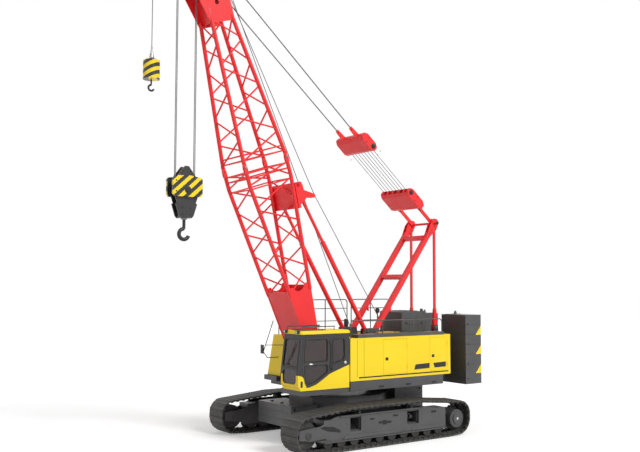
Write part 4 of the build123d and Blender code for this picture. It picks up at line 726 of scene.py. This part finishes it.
def window_rim(name, outline, y, body, corner=0.07):
    """A gasket around a window in a side wall; outline in (x, z)."""
    outer = rounded(grown(outline, GASKET_REACH), 0.03)
    inner = rounded(grown(outline, -GASKET_COVER), corner)
    lines = [[(p.x, 0, p.y) for p in line] for line in (outer, inner)]
    rim(*lines, (0, y, 0), (0, y + GASKET_THICK, 0)).done(name, dark, body, 0.002, segments=1)


window_rim("door_upper_rim", DOOR_UPPER, CAB_LEFT, "cab_door_leaf")
window_rim("door_lower_rim", DOOR_LOWER, CAB_LEFT, "cab_door_leaf", corner=0.05)
window_rim("side_window_rim", SIDE_WINDOW, CAB_LEFT, "upper")
window_rim("right_window_rim", RIGHT_WINDOW, CAB_RIGHT - GASKET_THICK, "upper")


def front_x(z):
    """The front face of the cab at a height."""
    share = max(0.0, (z - LEAN_Z[0]) / (LEAN_Z[1] - LEAN_Z[0]))
    return FRONT_X + (LEAN_X - FRONT_X) * share


def front_rim(name, low, high, look, cover, corner):
    """A frame around a windscreen pane, in the plane of the cab's front."""
    rear_y, front_y = SCREEN_Y
    outline = ((rear_y, low), (front_y, low), (front_y, high), (rear_y, high))
    outer, inner = rounded(grown(outline, 0.012), 0.02), rounded(grown(outline, -cover), corner)
    lines = [[(front_x(p.y), p.x, p.y) for p in line] for line in (outer, inner)]
    rim(*lines, (-0.002, 0, 0), (0.008, 0, 0)).done(name, look, "upper", 0.002, segments=1)


front_rim("windscreen_rim", 2.33, 3.12, dark, 0.022, 0.07)
front_rim("lower_screen_rim", 1.80, 2.27, cab_paint, 0.035, 0.13)

# Cab: bar between the panes, oval recess, wiper, work lamps, grab rail, door handle and roof hatch
OVAL = ((2.525, 1.755), (2.595, 1.755), (2.595, 1.935), (2.525, 1.935))
WORK_LAMPS_Y = (0.84, 1.46)
HATCH = ((1.62, 0.86), (2.40, 0.86), (2.40, 1.44), (1.62, 1.44))
cab_trim = Piece().box((2.672, 2.69), (0.74, 1.555), (2.275, 2.325))
cab_trim.plate([(p.x, p.y) for p in rounded(OVAL, 0.034)], CAB_LEFT, CAB_LEFT + 0.01)
cab_trim.tube(((2.665, 1.02, 2.42), (2.655, 1.05, 2.50), (2.605, 1.33, 2.98)), 0.009)
cab_trim.tube(((2.645, 1.16, 2.56), (2.60, 1.36, 3.04)), 0.007)
cab_trim.disc((2.67, 1.02, 2.40), (1, 0, 0), ((0, 0.03), (0.03, 0.028)), 16)
for y in WORK_LAMPS_Y:
    cab_trim.tube(((2.50, y, 3.30), (2.60, y, 3.33)), 0.014)
    cab_trim.box((2.57, 2.66), (y - 0.06, y + 0.06), (3.28, 3.37))
cab_trim.tube(((1.50, 1.60, 2.20), (1.50, 1.65, 2.24), (1.50, 1.65, 2.90), (1.50, 1.60, 2.94)), 0.013)
cab_trim.done("cab_trim", dark, "upper", 0.004)
lights = Piece()
for y in WORK_LAMPS_Y:
    lights.disc((2.66, y, 3.325), (1, 0, 0), ((0, 0.034), (0.006, 0.032)), 20)
lights.disc((0.99, CAB_LEFT, 2.40), (0, 1, 0), ((0, 0.042), (0.012, 0.042), (0.024, 0.028)), 24)
lights.done("cab_lamps", white, "upper")
handle = Piece().box((2.17, 2.29), (CAB_LEFT, CAB_LEFT + 0.012), (2.385, 2.42))
handle.disc((2.23, CAB_LEFT + 0.01, 2.402), (0, 1, 0), ((0, 0.022), (0.012, 0.02)), 20)
handle.done("cab_door_handle", chrome, "cab_door_leaf", 0.004)
hatch = rounded(HATCH, 0.07)
Piece().prism(flat(hatch), (0, 0, 3.357), (0, 0, 3.372)).done("roof_hatch", pane, "upper", 0.004)
hatch_rim = rim(flat(rounded(grown(HATCH, 0.03), 0.08)), flat(hatch), (0, 0, 3.355), (0, 0, 3.378))
hatch_rim.done("roof_hatch_rim", dark, "upper", 0.003)

# Seat: soft cushions on a moulded pan
SEAT_Y = 1.147
SEAT_FILL, SEAT_CROWN = 0.8, 0.10
CHANNEL_Y, CHANNEL_HALF, CHANNEL_DEPTH = 0.45, 0.06, 0.10
# Name, x span, half width, z span
CUSHIONS = (
    ("seat_cushion", (1.13, 1.64), 0.25, (2.02, 2.12)),
    ("seat_back", (1.04, 1.15), 0.24, (2.10, 2.60)),
    ("seat_headrest", (1.05, 1.13), 0.13, (2.63, 2.78)),
)


def cushion(name, x, half_y, z):
    """A closed pad: full in the middle, pinched between its corners, with two sewn channels."""
    mesh = bmesh.new()
    bmesh.ops.create_cube(mesh, size=2.0)
    bmesh.ops.subdivide_edges(mesh, edges=mesh.edges[:], cuts=11, use_grid_fill=True)
    spans = (x, (SEAT_Y - half_y, SEAT_Y + half_y), z)
    middle = Vector([(low + high) / 2 for low, high in spans])
    half = Vector([(high - low) / 2 for low, high in spans])
    thin = min(range(3), key=lambda i: half[i])
    for vert in mesh.verts:
        p = vert.co.copy()
        wide = [p[i] for i in range(3) if i != thin]
        dome = (1 - wide[0] ** 2) * (1 - wide[1] ** 2)
        pinch = 1 - 0.035 * (1 - min(abs(wide[0]), abs(wide[1])) ** 2)
        p = Vector([c * pinch if i != thin else c * (0.62 + 0.38 * dome ** 0.35) for i, c in enumerate(p)])
        if p[thin] > 0:
            channel = max(0.0, 1 - abs(abs(p.y) - CHANNEL_Y) / CHANNEL_HALF)
            p[thin] += SEAT_CROWN * dome - CHANNEL_DEPTH * channel * dome ** 0.3
        vert.co = Vector([c * h for c, h in zip(p, half)]) + middle
    made = smooth(name, mesh, seat_cloth)
    mod = made.modifiers.new("soft", "SUBSURF")
    mod.levels = mod.render_levels = 1
    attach(made, "upper")
    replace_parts(made, "cab_seat")


for name, x, half_y, z in CUSHIONS:
    cushion(name, x, half_y, z)

# Outline in (x, z) and half width of the pan, the back shell and the stand
SEAT_PLATES = (
    (((1.12, 1.98), (1.62, 1.98), (1.62, 2.03), (1.12, 2.03)), 0.24),
    (((1.02, 1.99), (1.06, 1.99), (1.06, 2.62), (1.02, 2.62)), 0.2),
    (((1.15, 1.70), (1.50, 1.70), (1.46, 1.78), (1.42, 1.98), (1.22, 1.98), (1.19, 1.78)), 0.13),
)
seat_frame = Piece()
for outline, half_y in SEAT_PLATES:
    seat_frame.plate(outline, SEAT_Y - half_y, SEAT_Y + half_y)
for y in (SEAT_Y - 0.08, SEAT_Y + 0.08):
    seat_frame.tube(((1.05, y, 2.58), (1.08, y, 2.68)), 0.008)
for side in (-1, 1):
    rest, post = SEAT_Y + side * 0.31, SEAT_Y + side * 0.28
    seat_frame.box((1.16, 1.50), (rest - 0.04, rest + 0.04), (2.20, 2.26))
    seat_frame.box((1.18, 1.26), (post - 0.03, post + 0.03), (2.03, 2.21))
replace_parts(seat_frame.done("seat_frame", dark, "upper", 0.008), "cab_seat")

# Lever knobs, monitor and pedals
KNOB = ((0, 0.018), (0.015, 0.026), (0.04, 0.028), (0.062, 0.014))
PEDAL = ((2.10, 1.71), (2.22, 1.78), (2.215, 1.80), (2.09, 1.73))
controls = Piece()
for y in (SEAT_Y - 0.2, SEAT_Y):
    controls.disc((2.18, y, 2.45), (-0.42, 0, 0.91), KNOB, 20)
controls.box((2.30, 2.34), (SEAT_Y + 0.02, SEAT_Y + 0.26), (2.34, 2.52))
for y in (SEAT_Y - 0.12, SEAT_Y + 0.12):
    controls.plate(PEDAL, y - 0.05, y + 0.05)
controls.done("cab_controls", dark, "upper", 0.004)

# Housings: seams painted as near-black shade strips, latches, blank plates and louvres
HOUSE_FACE = 1.6
SEAM = 0.004
SEAM_Z = (1.94, 3.05)
# Near-black strips: painted shade in the door gaps, along the roof joints and inside the long groove low on
# the left housing
seams = Piece()
for x in (0.537, 0.28):
    seams.box((x - SEAM, x + SEAM), (HOUSE_FACE - 0.02, HOUSE_FACE + 0.0015), SEAM_Z)
seams.box((-3.24, 0.48), (HOUSE_FACE - 0.014, HOUSE_FACE - 0.008), (1.891, 1.929))
for x in (-1.75, -0.10):
    seams.box((x - SEAM, x + SEAM), (-HOUSE_FACE - 0.0015, -HOUSE_FACE + 0.02), SEAM_Z)
for y in (1.50, -1.50):
    seams.box((-3.4, 0.78), (y - SEAM, y + SEAM), (3.07, 3.0915))
seams.done("housing_seam_shade", shade, "upper")

# Door, x, z, side
LATCHES = (("left_front", -0.62, 2.42, 1), ("left_rear", -2.56, 2.43, 1), ("right_front", 0.28, 2.42, -1),
           ("right_rear", -1.62, 2.43, -1))
for door, x, z, side in LATCHES:
    y = side * HOUSE_FACE
    latch = Piece().box((x - 0.055, x + 0.055), sorted((y, y + side * 0.008)), (z - 0.045, z + 0.045))
    latch.box((x - 0.035, x + 0.035), sorted((y, y + side * 0.018)), (z - 0.014, z + 0.022))
    latch.done(f"{door}_latch", dark, f"{door}_leaf", 0.004)

# Outline in (x, z), body
BLANK_PLATES = (
    (((-2.40, 2.05), (-1.75, 2.03), (-1.80, 2.19), (-2.40, 2.21)), "upper"),
    (((-3.12, 2.06), (-2.62, 2.05), (-2.57, 2.20), (-3.12, 2.22)), "left_rear_leaf"),
)
for number, (outline, body) in enumerate(BLANK_PLATES, 1):
    Piece().plate(outline, HOUSE_FACE, HOUSE_FACE + 0.004).done(f"blank_plate_{number}", dark, body, 0.001)
louvres = Piece()
for x in (-3.05, -2.45):
    for k in range(9):
        z = 2.25 + 0.055 * k
        louvres.prism([(x, 0, z), (x, 0, z + 0.03), (x, -0.016, z + 0.012)], (0, -HOUSE_FACE, 0),
                      (0.4, -HOUSE_FACE, 0))
louvres.done("engine_door_louvres", yellow, "right_rear_leaf")

# On the right housing's roof: a grille, the exhaust and a filler cap
EXHAUST = ((0, 0.10), (0.05, 0.10), (0.06, 0.075), (0.42, 0.075), (0.46, 0.06))
FILLER = ((0, 0.07), (0.03, 0.07), (0.05, 0.05), (0.09, 0.05), (0.10, 0.03))
tops = Piece()
for k in range(16):
    tops.box((-2.9 + 0.09 * k, -2.85 + 0.09 * k), (-1.45, -1.0), (3.088, 3.108))
tops.disc((-1.15, -1.15, 3.085), (0, 0, 1), EXHAUST, 24)
tops.disc((-0.35, -1.2, 3.085), (0, 0, 1), FILLER, 20)
tops.done("right_top_details", dark, "upper", 0.003)

# A tan box above the left housing
Piece().box((-1.11, -0.46), (1.24, 1.38), (3.19, 3.235)).done("tan_box", sand, "upper", 0.01)

# On and beside the hood: seams, handles, a grille, an air intake on its pipe and a cap
hood = Piece()
for x in (-2.85, -2.5):
    hood.box((x - SEAM, x + SEAM), (0.555, 0.5615), (3.18, 3.76))
for x in (-3.02, -2.34):
    hood.box((x - 0.05, x + 0.05), (0.558, 0.575), (3.42, 3.46))
for k in range(7):
    hood.box((-3.0 + 0.1 * k, -2.94 + 0.1 * k), (-0.4, 0.4), (3.818, 3.835))
hood.tube(((-1.16, 0.50, 3.20), (-1.16, 0.50, 3.80)), 0.018)
hood.disc((-1.16, 0.50, 3.79), (0, 0, 1), ((0, 0.04), (0.03, 0.07), (0.13, 0.07), (0.16, 0.04)), 20)
hood.disc((-3.08, 0.5, 3.815), (0, 0, 1), ((0, 0.05), (0.06, 0.05), (0.09, 0.03)), 20)
hood.done("hood_details", dark, "upper", 0.003)

# The mirror on the right, on its stay
stay = Piece().tube(((1.56, -1.13, 2.39), (2.0, -1.13, 2.39), (2.0, -1.37, 2.56), (2.0, -0.80, 3.56)), 0.012)
stay.tube(((1.50, -0.95, 2.78), (2.0, -1.25, 2.78)), 0.010)
stay.box((1.985, 2.015), (-1.52, -1.36), (2.50, 2.78))
stay.done("mirror_stay", dark, "upper", 0.003)

# Deck: dark boxes painted as the shade inside the slots in the sills, bolts, and the tread on the front step
deck = Piece()
# Dark boxes on the sills: painted shade inside the slots
for x in (-2.6, -1.5, -0.4):
    for side in (1, -1):
        deck.box((x - 0.10, x + 0.10), sorted((side * HOUSE_FACE, side * (HOUSE_FACE + 0.006))), (1.57, 1.63))
for x in (1.70, 0.95, -1.25):
    places = [Vector((x + step, side * 0.70, 1.822)) for step in (-0.08, 0.08) for side in (-1, 1)]
    deck.bolts(places, (0, 0, 1))
for k in range(9):
    deck.box((1.58 + 0.025 * k, 1.59 + 0.025 * k), (-1.56, -0.92), (1.818, 1.826))
deck.done("deck_details_and_slot_shade", dark, "upper", 0.002, segments=1)

# Counterweight: warning marks, lifting studs, top strips and tail lamps
STACK_REAR, STACK_SIDE = -4.77, 1.6
MARK_FRONT = -4.51
MARKS_Z = ((3.03, 3.33), (2.39, 2.69), (1.76, 2.06))
marks, trim, tail = Piece(), Piece(), Piece()
for side in (1, -1):
    y = sorted((side * STACK_SIDE, side * (STACK_SIDE + 0.003)))
    for low, high in MARKS_Z:
        marks.plate(((STACK_REAR + 0.004, low), (MARK_FRONT, low), (STACK_REAR + 0.004, high)), *y)
    for z in (1.60, 2.10, 2.75, 3.40):
        trim.disc((-4.18, side * STACK_SIDE, z), (0, side, 0), ((0, 0.03), (0.02, 0.03), (0.03, 0.02)), 16)
    trim.box((STACK_REAR + 0.02, -4.06), sorted((side * 0.62, side * 0.70)), (3.695, 3.712))
    tail.box((STACK_REAR + 0.0005, STACK_REAR + 0.012), sorted((side * 1.30, side * 1.50)), (1.52, 1.60))
marks.done("counterweight_marks", yellow, "upper")
trim.done("counterweight_trim", black, "upper", 0.003)
tail.done("tail_lamps", lens_red, "upper", 0.003)

# Winches
WRAPS, WOUND = 26, 0.78
RIPPLE = ((0.0, 0.0), (0.25, 0.011), (0.5, 0.015), (0.75, 0.011))


def windings(name, x, radius):
    """Rope laid on a drum, one ripple for each turn."""
    profile = [(WOUND * ((k + share) / WRAPS - 0.5), radius - 0.015 + lift)
               for k in range(WRAPS) for share, lift in RIPPLE]
    Piece().disc((x, 0, DRUM_Z), (0, 1, 0), profile, 32).done(f"{name}_windings", rope, f"{name}_winch")


for winch in WINCHES:
    windings(*winch)
for name, x, _ in WINCHES:
    bolts = Piece()
    for side in (-1, 1):
        bolts.bolts(around(x, side * 0.45, DRUM_Z, 0.03, 4), (0, side, 0), 0.006, 0.008)
    bolts.done(f"{name}_shaft_bolts", steel, f"{name}_winch")

# Pins of the boom, the gantry and the luffing blocks
JOINT_U, JOINT_V, JOINT_FACE = 6.58, (0.745, -0.75), 0.674
PLATE_BOLTS = ((11.2, 0.36), (11.9, 0.66), (12.9, 0.30), (12.6, 1.1), (11.3, -0.36), (12.2, -0.2))
DECK_PINS_X, DECK_PINS_Z = (-0.95, -0.62), 3.2
LINK_FOOT_Z = 3.25
MAST_BOLTS = ((0.10, -0.02), (0.17, -0.24), (-0.02, -0.20), (0.26, -0.36))
HULL_FACE = 0.70
# Name, pin's place on the line, bolts' steps from it, body
HULLS = (("block", 1.505, (-0.30,), "mast_block"),
         ("spreader", 3.645, (-0.30, 0.30), "spreader_and_pendants"))
JOINT_PIN = ((0, 0.036), (0.012, 0.036), (0.014, 0.02))
DECK_PIN = ((0, 0.07), (0.014, 0.07), (0.016, 0.05), (0.03, 0.045))


def boom_pins(sign, side, out):
    """Caps on the boom's foot, joint and sheave pins, and the bolts of the head plates."""
    caps = Piece().disc(on_boom(0, 0, sign * 0.63), out, ((0, 0.085), (0.006, 0.085)), 32)
    for v in JOINT_V:
        caps.disc(on_boom(JOINT_U, v, sign * JOINT_FACE), out, JOINT_PIN, 20)
    for sheave in (HEAD_SHEAVE, GUIDE_SHEAVE, TIP_SHEAVE):
        x, y, z = on_boom(*sheave, sign * HEAD_PLATE_Y)
        caps.disc((x, y, z), out, ((0, 0.095), (0.016, 0.095), (0.018, 0.05), (0.03, 0.045)), 32)
        caps.bolts(around(x, y + sign * 0.016, z, 0.075, 6), out, 0.009, 0.009)
    for u, v in PLATE_BOLTS:
        places = [on_boom(u + step, v, sign * HEAD_PLATE_Y) for step in (-0.06, 0.0, 0.06)]
        caps.bolts(places, out, 0.012, 0.010)
    caps.done(f"boom_pins_{side}", steel, "boom", 0.002, segments=1)


def deck_pins(sign, side, out):
    """Caps on the pins in the deck's ears and posts."""
    x, z = FOOT
    caps = Piece().disc((x, sign * 0.668, z), out,
                        ((0, 0.11), (0.012, 0.11), (0.014, 0.07), (0.03, 0.065)))
    caps.bolts(around(x, sign * 0.68, z, 0.09, 6), out, 0.010, 0.010)
    for x in DECK_PINS_X:
        caps.disc((x, sign * 0.69, DECK_PINS_Z), out, DECK_PIN, 24)
    caps.disc((MAST_HEAD[0], sign * 0.66, LINK_FOOT_Z), out, ((0, 0.06), (0.02, 0.06), (0.03, 0.04)), 24)
    caps.done(f"deck_pins_{side}", black, "upper", 0.002, segments=1)


def mast_pins(sign, side, out):
    """The mast head's pin cap and bolts."""
    x, z = MAST_HEAD
    caps = Piece().disc((x, sign * 0.74, z), out, ((0, 0.055), (0.02, 0.055), (0.026, 0.04)), 24)
    caps.bolts([Vector((x + a, sign * 0.655, z + b)) for a, b in MAST_BOLTS], out, 0.014, 0.012)
    caps.done(f"mast_pins_{side}", dark, "upper", 0.002, segments=1)


def hull_pins(sign, side, out):
    """The ends of the luffing blocks' sheave pins, and the bolts beside them."""
    y = sign * HULL_FACE
    for name, s, steps, body in HULLS:
        caps = Piece().disc(on_line(s, 0, y), out,
                            ((0, 0.08), (0.02, 0.08), (0.024, 0.05), (0.04, 0.045)), 24)
        caps.bolts([on_line(s + a, b, y) for a in steps for b in (-0.09, 0.09)], out, 0.014, 0.012)
        caps.done(f"{name}_pins_{side}", dark, body, 0.002, segments=1)


mirrored(boom_pins, deck_pins, mast_pins, hull_pins)

HULL_UP = on_line(0, 1) - on_line(0, 0)
for name, s, body in (("block", 1.1, "mast_block"), ("spreader", 3.9, "spreader_and_pendants")):
    studs = Piece()
    for k in range(5):
        studs.disc(on_line(s, 0.148, -0.5 + 0.25 * k), HULL_UP, ((0, 0.03), (0.016, 0.028)), 16)
    studs.done(f"{name}_studs", dark, body)

# Hook block: hubs, bolts and the hook's nut; then the socket above the auxiliary weight
HOOK_X, HOOK_Z, HOOK_LOW = on_boom(*HEAD_SHEAVE).x, 7.35, 6.56
CHEEK_FACE, WEIGHT_FACE = 0.15, 0.235
SOCKET_Z = 11.01
hub = Piece()
for side in (-1, 1):
    out = (0, side, 0)
    face = side * WEIGHT_FACE
    hub.disc((HOOK_X, face, HOOK_Z), out, ((0, 0.10), (0.012, 0.10), (0.016, 0.06), (0.03, 0.055)), 28)
    hub.bolts([Vector((HOOK_X + a, face, z)) for a in (-0.36, 0.36) for z in (7.30, 7.60)], out)
    cheek = [Vector((HOOK_X + a, side * CHEEK_FACE, z)) for a in (-0.12, 0.12) for z in (6.66, 6.85, 7.90)]
    hub.bolts(cheek, out)
hub.done("hook_block_fittings", dark, "hook_block", 0.002, segments=1)
nut = Piece().disc((HOOK_X, 0, HOOK_LOW), (0, 0, -1), ((0.002, 0.09), (0.03, 0.09), (0.05, 0.06)), 6)
nut.done("hook_nut", steel, "hook", 0.003)
socket = Piece().disc((on_boom(*TIP_SHEAVE).x + TIP_FALL, 0, SOCKET_Z), (0, 0, 1),
                      ((0, 0.07), (0.06, 0.06), (0.2, 0.03), (0.34, 0.02)), 20)
socket.done("rope_socket", steel, "small_weight")


# Stage, camera and light
WORLD_LIGHT = 0.36
FLOOR_GLOW = 0.32
FLOOR_REACH, FLOOR_Z = 60, -0.002
# Name, azimuth, height, strength, size; angles in degrees
LAMPS = (("key", 105, 38, 2.2, 20), ("fill", 10, 30, 0.2, 40))


def seen_rays(tree):
    """1 for what the camera sees, directly, in a reflection or through glass."""
    rays = tree.nodes.new("ShaderNodeLightPath")
    indirect = maths(tree, "MAXIMUM", rays.outputs["Is Glossy Ray"], rays.outputs["Is Transmission Ray"])
    return maths(tree, "MAXIMUM", rays.outputs["Is Camera Ray"], indirect)


def build_floor():
    """A pale floor that shows white and takes the shadow."""
    made, tree, shader = new_material("floor")
    shader.inputs["Base Color"].default_value = (0.9, 0.9, 0.9, 1)
    shader.inputs["Roughness"].default_value = 0.9
    glow = maths(tree, "MULTIPLY", seen_rays(tree), FLOOR_GLOW)
    shader.inputs["Emission Color"].default_value = (1, 1, 1, 1)
    tree.links.new(glow, shader.inputs["Emission Strength"])
    data = bpy.data.meshes.new("floor")
    corners = ((-1, -1), (1, -1), (1, 1), (-1, 1))
    data.from_pydata([(FLOOR_REACH * x, FLOOR_REACH * y, FLOOR_Z) for x, y in corners], [], [(0, 1, 2, 3)])
    floor = placed("floor", data)
    data.materials.append(made)


def build_light():
    """An even world that shows white, and two soft suns."""
    world = bpy.data.worlds.new("studio")
    bpy.context.scene.world = world
    world.use_nodes = True
    tree = world.node_tree
    back = tree.nodes["Background"]
    level = maths(tree, "MULTIPLY_ADD", seen_rays(tree), 1 - WORLD_LIGHT, WORLD_LIGHT)
    tree.links.new(level, back.inputs["Strength"])
    back.inputs["Color"].default_value = (1, 1, 1, 1)
    for name, azimuth, height, strength, size in LAMPS:
        sun = bpy.data.lights.new(name, "SUN")
        sun.energy = strength
        sun.angle = radians(size)
        a, h = radians(azimuth), radians(height)
        toward = -Vector((cos(a) * cos(h), sin(a) * cos(h), sin(h)))
        placed(name, sun).rotation_euler = toward.to_track_quat("-Z", "Y").to_euler()


build_floor()
build_light()

# The camera that the photograph was solved for
EYE = (16.1706, 21.3593, 4.6485)
LOOK_WAY = (-0.58316, -0.80916, 0.07201)
ROLL = 0.0024
FOCAL_PIXELS, PICTURE_WIDTH, SENSOR = 832.706, 640, 36.0


def build_camera():
    """The photograph's view."""
    data = bpy.data.cameras.new("view")
    data.sensor_width = SENSOR
    data.lens = FOCAL_PIXELS / PICTURE_WIDTH * SENSOR
    data.clip_end = 200
    eye = placed("view", data)
    forward = Vector(LOOK_WAY).normalized()
    right = forward.cross(Vector((0, 0, 1))).normalized()
    up = right.cross(forward)
    right, up = right * cos(ROLL) + up * sin(ROLL), up * cos(ROLL) - right * sin(ROLL)
    turn = Matrix((right, up, -forward)).transposed().to_4x4()
    eye.matrix_world = Matrix.Translation(EYE) @ turn
    bpy.context.scene.camera = eye


build_camera()
bpy.context.scene.view_settings.view_transform = "Standard"
